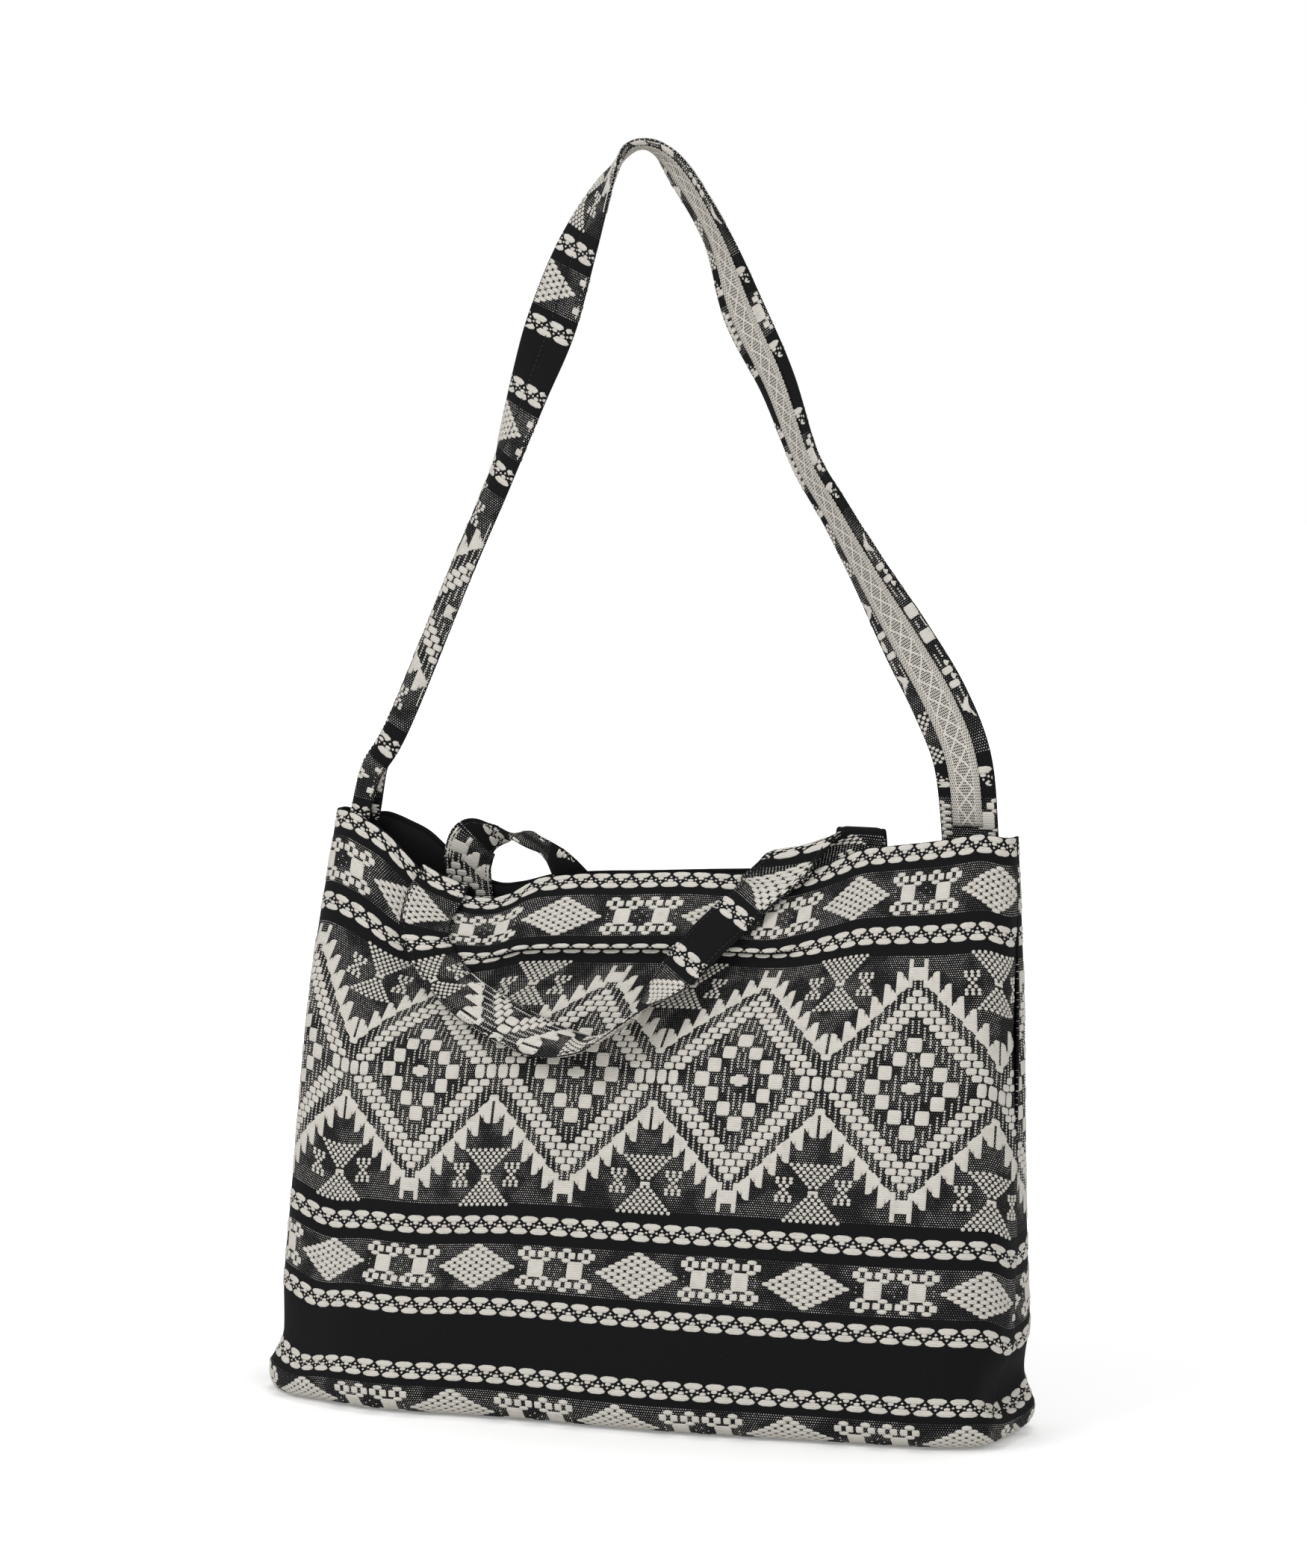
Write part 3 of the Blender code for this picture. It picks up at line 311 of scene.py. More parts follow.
def grid_faces(rows, columns, first=0, turned=False):
    """Quads between the points of a grid that is stored row by row from a first index."""
    corner = first + np.arange(rows - 1)[:, None] * columns + np.arange(columns - 1)[None, :]
    quads = np.stack([corner, corner + 1, corner + columns + 1, corner + columns], axis=-1).reshape(-1, 4)
    return quads[:, ::-1] if turned else quads


def closed_cloth(name, outer, inner, pattern, materials, inner_slots=0):
    """A cloth with a real thickness: two grids of points, outer and inner, joined round their border.

    inner_slots is the material slot of the inner faces, or one slot for each row of them.
    """
    rows, columns = outer.shape[:2]
    count = rows * columns
    index = np.arange(count).reshape(rows, columns)
    ring = np.concatenate([index[0], index[1:, -1], index[-1, -2::-1], index[-2:0:-1, 0]])
    following = np.roll(ring, -1)
    border = np.stack([ring, ring + count, following + count, following], axis=-1)
    faces = np.concatenate([grid_faces(rows, columns), grid_faces(rows, columns, count, True), border])
    inside = np.zeros(len(faces), int)
    half = (rows - 1) * (columns - 1)
    inside[half:2 * half] = np.repeat(np.broadcast_to(inner_slots, rows - 1), columns - 1)
    vertices = np.concatenate([outer.reshape(-1, 3), inner.reshape(-1, 3)])
    both = np.concatenate([pattern.reshape(-1, 2)] * 2)
    return new_piece(name, vertices, faces.tolist(), both, materials, inside)


def linear(colour):
    """An sRGB hex colour as linear red, green, blue and alpha."""
    parts = np.array([int(colour[k:k + 2], 16) for k in (1, 3, 5)]) / 255
    low = parts <= 0.04045
    return (*np.where(low, parts / 12.92, ((parts + 0.055) / 1.055) ** 2.4), 1.0)


def add_node(tree, kind, *inputs, **rest):
    """Add one node to a tree and return its first output. A second word in kind is the node's operation.

    inputs fill its sockets in order: numbers, colours or outputs. In rest, a name with a capital or _number
    is a socket, and any other name is one of the node's settings.
    """
    kind, _, operation = kind.partition(" ")
    made = tree.nodes.new("ShaderNode" + kind)
    if operation:
        made.operation = operation
    sockets = dict(enumerate(inputs))
    for key, value in rest.items():
        if key[0] == "_":
            sockets[int(key[1:])] = value
        elif key[0].isupper():
            sockets[key.replace("_", " ")] = value
        else:
            setattr(made, key, value)
    for key, value in sockets.items():
        if isinstance(value, bpy.types.NodeSocket):
            tree.links.new(value, made.inputs[key])
        else:
            made.inputs[key].default_value = value
    return made.outputs[0]


def new_material(name, roughness):
    """A material, its Principled shader and add_node for its tree. The only shine is soft, from fuzz."""
    made = bpy.data.materials.new(name)
    made.use_nodes = True
    shader = made.node_tree.nodes["Principled BSDF"]
    for key, value in (("Roughness", roughness), ("IOR", 1.5), ("Specular IOR Level", 0.08)):
        shader.inputs[key].default_value = value
    return made, shader, functools.partial(add_node, made.node_tree)


def connect(shader, **outputs):
    """Link outputs to the shader's sockets."""
    for key, output in outputs.items():
        shader.id_data.links.new(output, shader.inputs[key.replace("_", " ")])


def weave_axes(node):
    """The weave map and its two coordinates: pattern steps across and up."""
    source = node("UVMap", uv_map="weave")
    split = node("SeparateXYZ", source).node
    return source, split.outputs[0], split.outputs[1]


# Cotton twill ground: black warp-faced cloth, matt, with a fine diagonal rib. In the figured bands single
# cream picks come up between the warps as fine rows of specks, about 1.4 mm apart and 0.5 mm wide.
BLACK_COTTON = "#111112"
BLACK_COTTON_LIGHT = "#1C1C1E"
SPECK_COTTON = "#E2DFD8"
SPECK_ACROSS = 0.39
SPECK_UP = 0.36
SPECK_RADIUS = 0.085
PLAIN_BANDS = ((0.0, 1), (21.5, 0), (27.9, 1), (35.9, 0))


def make_ground_material():
    """Black ground with specks: cells of the speck's pitch, each second row set over by half a cell.

    A speck is a disc whose radius changes by chance and from zone to zone. No speck shows in plain bands.
    """
    material, shader, node = new_material("jacquard_ground_cotton", 0.9)
    weave, across, up = weave_axes(node)
    row = node("Math DIVIDE", up, SPECK_UP)
    row_number = node("Math FLOOR", row)
    column = node("Math DIVIDE", across, SPECK_ACROSS)
    column = node("Math MULTIPLY_ADD", row_number, 0.5, column)
    squares = []
    for place_in_cell, pitch in ((column, SPECK_ACROSS), (row, SPECK_UP)):
        part = node("Math FRACT", place_in_cell)
        part = node("Math MULTIPLY_ADD", part, pitch, -pitch / 2)
        squares.append(node("Math MULTIPLY", part, part))
    distance = node("Math SQRT", node("Math ADD", *squares))
    cell = node("CombineXYZ", node("Math FLOOR", column), row_number)
    chance = node("TexWhiteNoise", noise_dimensions="2D", Vector=cell)
    zone = node("TexNoise", noise_dimensions="2D", Vector=weave, Scale=0.16, Detail=1.0)
    zone = node("MapRange", zone, 0.38, 0.56, 0.45, 1.0, interpolation_type="SMOOTHSTEP")
    size = node("Math MULTIPLY_ADD", chance, 0.4 * SPECK_RADIUS, 0.6 * SPECK_RADIUS)
    size = node("Math MULTIPLY", size, zone)
    edges = [node("Math MULTIPLY", size, share) for share in (1.15, 0.7)]
    speck = node("MapRange", distance, *edges, 0.0, 1.0, interpolation_type="SMOOTHSTEP")
    band = node("Math WRAP", up, ROW_REPEAT / 2, -ROW_REPEAT / 2)
    band = node("Math ABSOLUTE", band)
    band = node("Math MULTIPLY", band, 2 / ROW_REPEAT)
    figured = node("ValToRGB", band)
    bands = figured.node.color_ramp
    bands.interpolation = "CONSTANT"
    for start, specked in PLAIN_BANDS:
        stop = bands.elements.new(start * 2 / ROW_REPEAT) if start else bands.elements[0]
        stop.color = (specked, specked, specked, 1.0)
    bands.elements.remove(bands.elements[-1])
    shown = node("Math MULTIPLY", speck, figured)
    rib = node("TexWave", wave_type="BANDS", bands_direction="DIAGONAL", Vector=weave, Scale=1.4,
               Distortion=0.6, Detail=2.0)
    fuzz = node("TexNoise", Vector=weave, Scale=1.7, Detail=6.0)
    fuzz = node("Math MULTIPLY", rib, fuzz)
    black = node("Mix", data_type="RGBA", _0=fuzz, _6=linear(BLACK_COTTON),
                 _7=linear(BLACK_COTTON_LIGHT)).node.outputs[2]
    colour = node("Mix", data_type="RGBA", _0=shown, _6=black,
                  _7=linear(SPECK_COTTON)).node.outputs[2]
    height = node("Math MULTIPLY_ADD", shown, 1.5, rib)
    bump = node("Bump", Height=height, Strength=0.35, Distance=0.0003)
    connect(shader, Base_Color=colour, Normal=bump)
    return material


# Cream cotton weft: several soft yarns lie side by side in each float, so that a float shows fine grooves
# across its dome with painted shade darkening the colour in each groove, and each yarn is a slightly different
# cream. Their 1.25 mm is coarser than real, to show.
CREAM_COTTON = "#D3CFC7"
# the dark end of the cream: the yarns' own darker tone, and painted shade in the grooves between yarns
CREAM_DARK_TONE_AND_GROOVE_SHADE = "#968F84"
YARN_PITCH = 0.36


def make_float_material():
    """Soft yarns side by side: |sin|^(1/2) makes a groove every pitch up the cloth, and the yarns' tone
    wanders at random.

    Each groove also darkens the colour towards the dark cream, as painted shade.
    """
    material, shader, node = new_material("jacquard_weft_cotton", 0.85)
    weave, _, up = weave_axes(node)
    wander = node("TexNoise", Vector=weave, Scale=0.9, Detail=3.0)
    yarn = node("Math MULTIPLY_ADD", wander, 0.55, up)
    groove = node("Math MULTIPLY", yarn, math.pi / YARN_PITCH)
    groove = node("Math POWER", node("Math ABSOLUTE", node("Math SINE", groove)), 0.5)
    shade = node("TexNoise", Vector=weave, Scale=0.45, Detail=5.0, Roughness=0.7)
    shade = node("Math MULTIPLY_ADD", shade, 0.9, 0.1)
    # painted shade: the colour goes towards the dark cream in each groove, scaled by the yarns' random tone
    share = node("Math MULTIPLY_ADD", groove, 0.5, 0.5)
    share = node("Math MULTIPLY", share, shade)
    share = node("Math MULTIPLY_ADD", share, 1.75, 0.1)
    colour = node("Mix", data_type="RGBA", _0=share, _6=linear(CREAM_DARK_TONE_AND_GROOVE_SHADE),
                  _7=linear(CREAM_COTTON)).node.outputs[2]
    bump = node("Bump", Height=groove, Strength=0.7, Distance=0.0003)
    connect(shader, Base_Color=colour, Normal=bump)
    return material


ground_cotton = make_ground_material()
cream_cotton = make_float_material()

# Outlines of single floats, as corners of a shape that is 2 wide and 2 high
BRICK = np.array([(1, -0.55), (1, 0.55), (0.72, 1), (-0.72, 1), (-1, 0.55), (-1, -0.55), (-0.72, -1),
                  (0.72, -1)])
OVAL = np.array([(1, 0), (0.76, 0.72), (0, 1), (-0.76, 0.72), (-1, 0), (-0.76, -0.72), (0, -1),
                 (0.76, -0.72)])
BLOCK = np.array([(1, -0.72), (1, 0.72), (0.8, 1), (-0.8, 1), (-1, 0.72), (-1, -0.72), (-0.8, -1), (0.8, -1)])
CHECK = np.array([(1, -0.2), (0.55, 0.9), (-0.55, 0.9), (-1, -0.2), (-0.5, -1), (0.5, -1)])
BEAD = np.array([(1, 0), (0, 1), (-1, 0), (0, -1)])
CAP = np.array([(1, 0), (0.86, 0.62), (0.42, 1), (-0.42, 1), (-0.86, 0.62), (-1, 0), (-0.6, -1), (0.6, -1)])
TOOTH_YARNS = 12


def tooth_outline():
    """A tooth, 2 wide and 2 high: a straight outer side, and an inner side whose yarns end in small steps.

    Its width grows from the tip down to a point below its middle and shrinks again to its foot.
    """
    level = np.linspace(-1.0, 1.0, TOOTH_YARNS)
    width = np.interp(level, (-1.0, -0.6, -0.25, 0.1, 0.5, 1.0), (0.5, 1.35, 2.0, 1.95, 1.25, 0.7))
    ragged = width - 0.2 * (np.arange(TOOTH_YARNS) % 2)
    return np.concatenate([np.stack([ragged - 1, level], axis=-1), [(-1.0, 1.0), (-1.0, -1.0)]])


TOOTH = tooth_outline()
FLOAT_INSET = 0.16
FLOAT_RISE = 0.00055
FLOAT_FOOT = -0.00025
BROAD_FLOAT = 0.45


def row_of(count, pitch, v):
    """Places of a row of floats centred on u = 0."""
    u = (np.arange(count) - (count - 1) / 2) * pitch
    return np.stack([u, np.full(count, float(v))], axis=-1)


def four_ways(places):
    """The same places mirrored left to right and top to bottom, without repeats."""
    signs = np.array([(1, 1), (-1, 1), (1, -1), (-1, -1)])
    return np.unique(np.round((places[None] * signs[:, None]).reshape(-1, 2), 4) + 0.0, axis=0)


def small_diamond():
    """Thirteen rows of 1, 2 ... 7 ... 2, 1 ovals, each row set over by half an oval."""
    rows = [row_of(7 - abs(row), 2.05, row * 0.56) for row in range(-6, 7)]
    return [(OVAL, np.concatenate(rows), (0.88, 0.40))]


def rosette_pair():
    """Eight ringlets of four floats round two solid columns of yarn."""
    rings = np.array([(u, v) for u in (-5.2, -1.73, 1.73, 5.2) for v in (-2.4, 2.4)])
    caps = np.concatenate([rings + (0, 0.82), rings - (0, 0.82)])
    sides = np.concatenate([rings + (0.93, 0), rings - (0.93, 0)])
    columns = np.array([(-3.43, 0.0), (3.43, 0.0)])
    dots = four_ways(np.array([(1.0, 0.0), (0.0, 0.75), (6.0, 0.4)]))
    return [(OVAL, caps, (0.84, 0.40)), (BLOCK, sides, (0.62, 0.56)), (BLOCK, columns, (1.40, 1.50)),
            (BEAD, dots, (0.22, 0.2))]


def big_diamond():
    """The large diamond: teeth round its edge, bands of oval floats, and blocks round a centre oblong."""
    parts = []
    teeth = np.arange(6)
    for left in (1, -1):
        for up in (1, -1):
            places = np.stack([left * (3.8 + 2 * teeth - 1.3), up * (19.0 - 2.08 * teeth - 1.95)], axis=-1)
            parts.append((TOOTH * (-left, up), places, (1.30, 1.95)))
    tip = four_ways(np.array([(0.0, 18.6)]))
    prongs = four_ways(np.array([(1.32, 20.2), (1.32, 17.1)]))
    parts += [(BLOCK, tip, (1.75, 1.1)), (BLOCK, prongs, (0.42, 0.85))]
    tops = ((0,), (1,), (0, 2), (1, 3))
    bands = [(float(offset), 15.4 - 1.13 * k) for k in range(13)
             for offset in (tops[k] if k < len(tops) else (k, k - 2))]
    ovals = np.concatenate([four_ways(np.array(bands)), [(14.0, 4.4), (14.0, -4.4)]])
    tall = four_ways(np.array([(11.0, 0.0), (13.0, 0.0)]))
    parts += [(BRICK, ovals, (0.88, 0.57)), (BRICK, tall, (0.85, 1.15))]
    corner_blocks = four_ways(np.array([(0.0, 6.95), (6.1, 0.0)]))
    blocks = four_ways(np.array([(2.15, 4.6), (4.3, 2.3)]))
    parts += [(BLOCK, corner_blocks, (1.24, 1.2)), (BLOCK, blocks, (1.12, 1.16)),
              (BLOCK, np.array([(0.0, 0.0)]), (1.5, 0.66)), (BLOCK, np.array([(0.0, 0.0)]), (0.7, 1.0))]
    beads = []
    for count, top, end in ((14, 18.0, 16.1), (9, 10.8, 8.8)):
        for i in range(count):
            beads += [(i + 0.5, v) for v in np.arange(top - 1.12 * i, max(end - 1.12 * i, 0.0) - 0.01, -0.46)]
    for u, low, high in ((3.8, 0.0, 0.7), (2.5, 0.0, 2.3), (1.5, 1.3, 3.2), (0.5, 2.2, 4.7), (0.0, 5.0, 5.8)):
        beads += [(u, v) for v in np.arange(low, high, 0.46)]
    parts.append((BEAD, four_ways(np.array(beads)), (0.31, 0.27)))
    return parts


def hourglass():
    """Rows of 8 down to 2 checks, one bright bar, and rows of 2 up to 9, and a bow of checks at each side."""
    rows = [row_of(8 - row, 1.07, -4.3 + row * 0.57) for row in range(7)]
    rows += [row_of(2 + row, 1.07, 0.55 + row * 0.57) for row in range(8)]
    for side in (-1, 1):
        rows += [row_of(min(1 + abs(row), 3), 1.07, row * 0.57 - 0.3) + (side * 4.7, 0)
                 for row in range(-3, 4)]
    return [(CHECK, np.concatenate(rows), (0.40, 0.32)), (BLOCK, np.array([(0.0, 0.0)]), (0.85, 0.33))]


def chain_row():
    """One repeat of a chain: eight caps, and eight upside down half a cap over, each with a neck.

    Small beads fill the gaps between the necks, so that only small black dots are left.
    """
    pitch = 3.5
    upper = row_of(8, pitch, 0.0)
    lower = upper + (pitch / 2, 0.0)
    beads = np.concatenate([upper + (pitch / 4, 0), upper - (pitch / 4, 0), upper - (0, 0.42),
                            lower + (0, 0.42)])
    return [(CAP, upper + (0, 0.97), (1.58, 0.54)), (OVAL, upper + (0, 0.22), (0.55, 0.32)),
            (CAP * (1, -1), lower - (0, 0.97), (1.58, 0.54)), (OVAL, lower - (0, 0.22), (0.55, 0.32)),
            (BEAD, beads, (0.36, 0.30))]


def floats_where(floats, test):
    """The floats whose places pass a test."""
    kept = [(shape, places[test(places)], size) for shape, places, size in floats]
    return [row for row in kept if len(row[1])]


def fabric(low, high, left, right):
    """Every float of the cloth between two heights and two sides, in pattern steps: outline, places, size.

    Small diamonds and hourglasses stand on even columns, large diamonds and rosettes on odd ones.
    """
    collected = {}

    def stamp(parts, u, v, turned=False):
        """Put one figure's floats at a place of the cloth, upside down when turned."""
        for shape, places, size in parts:
            flip = np.array((1, -1) if turned else (1, 1))
            key = ((shape * flip).tobytes(), size)
            collected.setdefault(key, (shape * flip, [], size))[1].append(places * flip + (u, v))

    for period in range(math.floor(low / ROW_REPEAT) - 1, math.ceil(high / ROW_REPEAT) + 2):
        middle = period * ROW_REPEAT
        for column in range(math.floor(left / COLUMN_STEP) - 1, math.ceil(right / COLUMN_STEP) + 2):
            u = column * COLUMN_STEP
            if column % 2:
                stamp(big_diamond(), u, middle)
            else:
                stamp(hourglass(), u, middle + HOURGLASS_ROW)
                stamp(hourglass(), u, middle - HOURGLASS_ROW, True)
                for v in CHAIN_ROWS:
                    stamp(chain_row(), u, middle + v)
            for v in (-DIAMOND_ROW, DIAMOND_ROW):
                stamp(rosette_pair() if column % 2 else small_diamond(), u, middle + v)
    floats = [(shape, np.concatenate(groups), size) for shape, groups, size in collected.values()]
    return floats_where(floats, lambda places: ((places[:, 0] > left) & (places[:, 0] < right)
                                                & (places[:, 1] > low) & (places[:, 1] < high)))


def float_meshes(floats, to_world, inset=FLOAT_INSET, rise=FLOAT_RISE):
    """Domed floats as one mesh: a foot just inside the ground, a shoulder a little in from it, and a top.

    Beads end in one point, and larger floats have a second ring that keeps their top broad.
    """
    vertices, patterns, faces, count = [], [], [], 0
    for shape, places, size in floats:
        size = np.array(size)
        corners = len(shape)
        rings = [(size, FLOAT_FOOT)]
        if corners > len(BEAD):
            rings.append((np.maximum(size - inset / 2, size * 0.7), rise * 0.7))
        if size.min() > BROAD_FLOAT:
            rings.append((np.maximum(size - inset * 1.6, size * 0.45), rise * 0.98))
        pattern = [places[:, None] + shape * ring for ring, _ in rings]
        pattern = np.concatenate(pattern + [places[:, None]], axis=1)
        lifts = np.concatenate([np.full(corners, lift) for _, lift in rings] + [[rise]])
        vertices.append(to_world(pattern, lifts[None, :]).reshape(-1, 3))
        patterns.append(pattern.reshape(-1, 2))
        area = np.sum(shape[:, 0] * np.roll(shape[:, 1], -1) - np.roll(shape[:, 0], -1) * shape[:, 1])
        here = np.arange(corners)
        after = np.roll(here, -1)
        if area < 0:
            here, after = after, here
        first = count + np.arange(len(places))[:, None] * pattern.shape[1]
        for ring in range(len(rings) - 1):
            quad = np.stack([here, after, after + corners, here + corners], axis=-1) + ring * corners
            faces += (first[..., None] + quad[None]).reshape(-1, 4).tolist()
        top = pattern.shape[1] - 1
        last = (len(rings) - 1) * corners
        tip = np.stack([here + last, after + last, np.full(corners, top)], axis=-1)
        faces += (first[..., None] + tip[None]).reshape(-1, 3).tolist()
        count += len(places) * pattern.shape[1]
    return np.concatenate(vertices), faces, np.concatenate(patterns)


GROUND_ROWS = 118
GROUND_COLUMNS = 221
GROUND_SPREAD = ((0.0, 0.08, 0.16, 1.0), (-0.006, BASE_FOLD_RADIUS, CLOTH_HEIGHT))
SIDE_MARGIN = 0.0012
RIM_MARGIN = 0.0004
UNDER_HEIGHT = -0.002
UNDER_LIFT = 0.25
DRAWN_RIGHT = 7.0
DRAWN_UP = 0.6
GATHERED = 0.2
FLOATS_BELOW = 20.0
FLOATS_ABOVE = 40.0
TABLES = {side: cloth_table(side) for side in (FRONT, BACK)}
PANEL_NAMES = {FRONT: "front_panel", BACK: "back_panel"}
BASE_SEAM_HEIGHT = TABLES[FRONT]["along"][0]
FLAT_WIDTH = 2 * float(TABLES[FRONT]["half"][-1])


def drawn(u, v, side):
    """How far slack cloth is drawn to the right and up on the front, in steps.

    Towards the rim the left and the middle move right by the same amount and the right is gathered. Near the
    base the left is drawn up. The back stays as it is.
    """
    if side == BACK:
        return np.zeros_like(u), np.zeros_like(v)
    right = (DRAWN_RIGHT - GATHERED * np.maximum(u, 0.0)) * smooth_step((v - 2.0) / 30.0)
    return right, DRAWN_UP * smooth_step((8.0 - u) / 40.0) * smooth_step((-v - 24.0) / 22.0)


for side in (FRONT, BACK):
    table = TABLES[side]
    name = PANEL_NAMES[side]
    heights = np.interp(np.linspace(0, 1, GROUND_ROWS), GROUND_SPREAD[0],
                        (BASE_SEAM_HEIGHT, *GROUND_SPREAD[1]))
    share, height = np.meshgrid(np.linspace(-1.0, 1.0, GROUND_COLUMNS), heights)
    across = share * half_at(table, height)
    pattern = np.stack([(across - PATTERN_MIDDLE_X) / ACROSS_STEP, height / UP_STEP - PATTERN_MIDDLE_HEIGHT],
                       axis=-1)
    pattern -= np.stack(drawn(pattern[..., 0], pattern[..., 1], side), axis=-1)
    ground = closed_cloth(name + "_cloth", place(table, across, height, 0.0),
                          place(table, across, height, -PANEL_THICKNESS), pattern, [ground_cotton])
    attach(ground, "root")
    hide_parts(name)

    def on_panel(pattern, lift, table=table, side=side):
        """From pattern steps to the panel: floats lie flatter under the base and stop at the seams."""
        u, v = pattern[..., 0], pattern[..., 1]
        right, up = drawn(u, v, side)
        u, v = u + right, v + up
        height = (v + PATTERN_MIDDLE_HEIGHT) * UP_STEP
        half = half_at(table, height) - SIDE_MARGIN
        across = np.clip(PATTERN_MIDDLE_X + u * ACROSS_STEP, -half, half)
        under = np.where(height < UNDER_HEIGHT, UNDER_LIFT, 1.0)
        height = np.clip(height, BASE_SEAM_HEIGHT, CLOTH_HEIGHT - RIM_MARGIN)
        return place(table, across, height, lift * under)

    def off_the_seams(places):
        """Whether each float's middle lies on the panel, clear of its side seams."""
        u = places[:, 0] + drawn(places[:, 0], places[:, 1], side)[0]
        reach = half_at(table, (places[:, 1] + PATTERN_MIDDLE_HEIGHT) * UP_STEP) - SIDE_MARGIN
        return np.abs(PATTERN_MIDDLE_X + u * ACROSS_STEP) < reach

    half_steps = BASE_WIDTH / 2 / ACROSS_STEP + COLUMN_STEP
    floats = fabric(-PATTERN_MIDDLE_HEIGHT - FLOATS_BELOW, FLOATS_ABOVE, -half_steps - COLUMN_STEP,
                    half_steps)
    figures = new_piece(name + "_floats", *float_meshes(floats_where(floats, off_the_seams), on_panel),
                        [cream_cotton])
    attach(figures, "root")


# The lining: one open-topped pocket of plain black cotton, cut a little smaller than the bag and sewn to it
# at the rim, where its edge shows as a thin dark line behind the first row of cream.

# Lining cotton: black, matt and flat, with a thread grain too fine to count and a little grey lint
LINING_THICKNESS = 0.0010
LINING_RISE = 0.0006
LINING_SLACK = 0.0025
CLOTH_GAP = 0.0008
CORNER_SHARE = 0.62
LOOSE_SHARE_RUN = 0.15
LOOSE_RUN = 0.050
LINING_COLUMNS = 131
LINING_COTTON = "#131314"
LINING_COTTON_LIGHT = "#1E1E1F"
THREAD_PITCH = 0.0005


def lining_depth(share, height):
    """How deep the lining's outer face hangs behind the panel's: deeper at the corners below the rim."""
    at_corner = smooth_step((np.abs(share) - CORNER_SHARE) / LOOSE_SHARE_RUN)
    slack_here = LINING_SLACK * at_corner * smooth_step((CLOTH_HEIGHT - height) / LOOSE_RUN)
    return PANEL_THICKNESS + CLOTH_GAP + slack_here


def lining_layer(depth):
    """Front and back grids of one face of the lining, with one shared line where they are sewn together."""
    share, height = np.meshgrid(np.linspace(-1.0, 1.0, LINING_COLUMNS), heights[::2])
    halves = []
    for side in (FRONT, BACK):
        table = TABLES[side]
        across = share * half_at(table, height)
        halves.append(place(table, across, height, -lining_depth(share, height) - depth))
    front, back = halves
    for here, there in ((0, -1), (-1, 0)):
        front[:, here] = back[:, there] = (front[:, here] + back[:, there]) / 2
    seam = (front[0] + back[0, ::-1]) / 2
    front[0] = seam
    back[0] = seam[::-1]
    ring = np.concatenate([front, back[:, 1:]], axis=1)
    ring[-1, :, 2] += LINING_RISE
    return ring


def make_lining_material():
    """Plain weave: warp and weft waves of one thread's pitch multiplied, and a little lint."""
    material, shader, node = new_material("lining_cotton", 0.92)
    source = node("TexCoord").node.outputs["Object"]
    lint = node("TexNoise", Vector=source, Scale=900.0, Detail=4.0)
    colour = node("Mix", data_type="RGBA", _0=lint, _6=linear(LINING_COTTON),
                  _7=linear(LINING_COTTON_LIGHT)).node.outputs[2]
    threads = [node("TexWave", bands_direction=axis, Vector=source, Scale=0.05 / THREAD_PITCH, Distortion=0.3)
               for axis in "XZ"]
    weave = node("Math MULTIPLY", *threads)
    bump = node("Bump", Height=weave, Strength=0.3, Distance=0.0002)
    connect(shader, Base_Color=colour, Normal=bump)
    return material


outer_ring = lining_layer(0.0)
inner_ring = lining_layer(LINING_THICKNESS)
rows, columns = outer_ring.shape[:2]
edge = (rows - 1) * columns + np.arange(columns)
rim_faces = np.stack([edge[:-1], edge[1:], edge[1:] + rows * columns, edge[:-1] + rows * columns], axis=-1)
lining_faces = np.concatenate([grid_faces(rows, columns), grid_faces(rows, columns, rows * columns, True),
                               rim_faces])
lining = new_piece("lining_cloth", np.concatenate([outer_ring.reshape(-1, 3), inner_ring.reshape(-1, 3)]),
                   lining_faces.tolist(), np.zeros((2 * rows * columns, 2)), [make_lining_material()])
merged = bmesh.new()
merged.from_mesh(lining.data)
bmesh.ops.remove_doubles(merged, verts=merged.verts[:], dist=1e-6)
merged.to_mesh(lining.data)
merged.free()
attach(lining, "root")
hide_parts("lining")


# The shoulder strap: a flat tube of the same jacquard, cut along the cloth so that its bands cross it, sewn
# flat with one line of stitches, and fixed inside the bag at the left side seam and at the mouth's right.
# Near its left root it is folded lengthwise; above that it twists so that its tape comes to the front.

STRAP_WIDTH = 0.0340
STRAP_THICKNESS = 0.0030
SEWN_LENGTH = 0.034
STRAP_SEAT_GAP = 0.0014
STRAP_Y = 0.0263
STRAP_ROOT_INSET = 0.006
STRAP_END_INSET = 0.005
STRAP_FOLD_RUN = 0.008
STRAP_ROOT_FOLD = 84
STRAP_ROUTE = (
    (-0.189, 0.0205, 72, 72), (-0.176, 0.0402, 60, 60), (-0.1619, 0.0683, 54, 52),
    (-0.1306, 0.136, 52, 44), (-0.1083, 0.182, 46, 34), (-0.095, 0.208, 36, 14),
    (-0.0811, 0.2411, 22, 4), (-0.0661, 0.2773, 8, 0), (-0.0496, 0.32, 24, 0),
    (-0.0302, 0.359, 56, 4), (-0.0126, 0.3775, 90, 8), (0.011, 0.367, 130, 12),
    (0.0376, 0.3278, 138, 10), (0.0532, 0.2846, 157, 0), (0.0739, 0.245, 150, 0),
    (0.0923, 0.2013, 141, 4), (0.1107, 0.172, 142, 4), (0.1319, 0.1366, 152, 0),
    (0.1541, 0.1009, 172, 0), (0.1729, 0.0697, 184, 0), (0.1865, 0.0371, 184, 0),
)
STRAP_STATIONS = 460
STRAP_COLUMNS = 23
RIM_END_HEIGHT = 0.3350


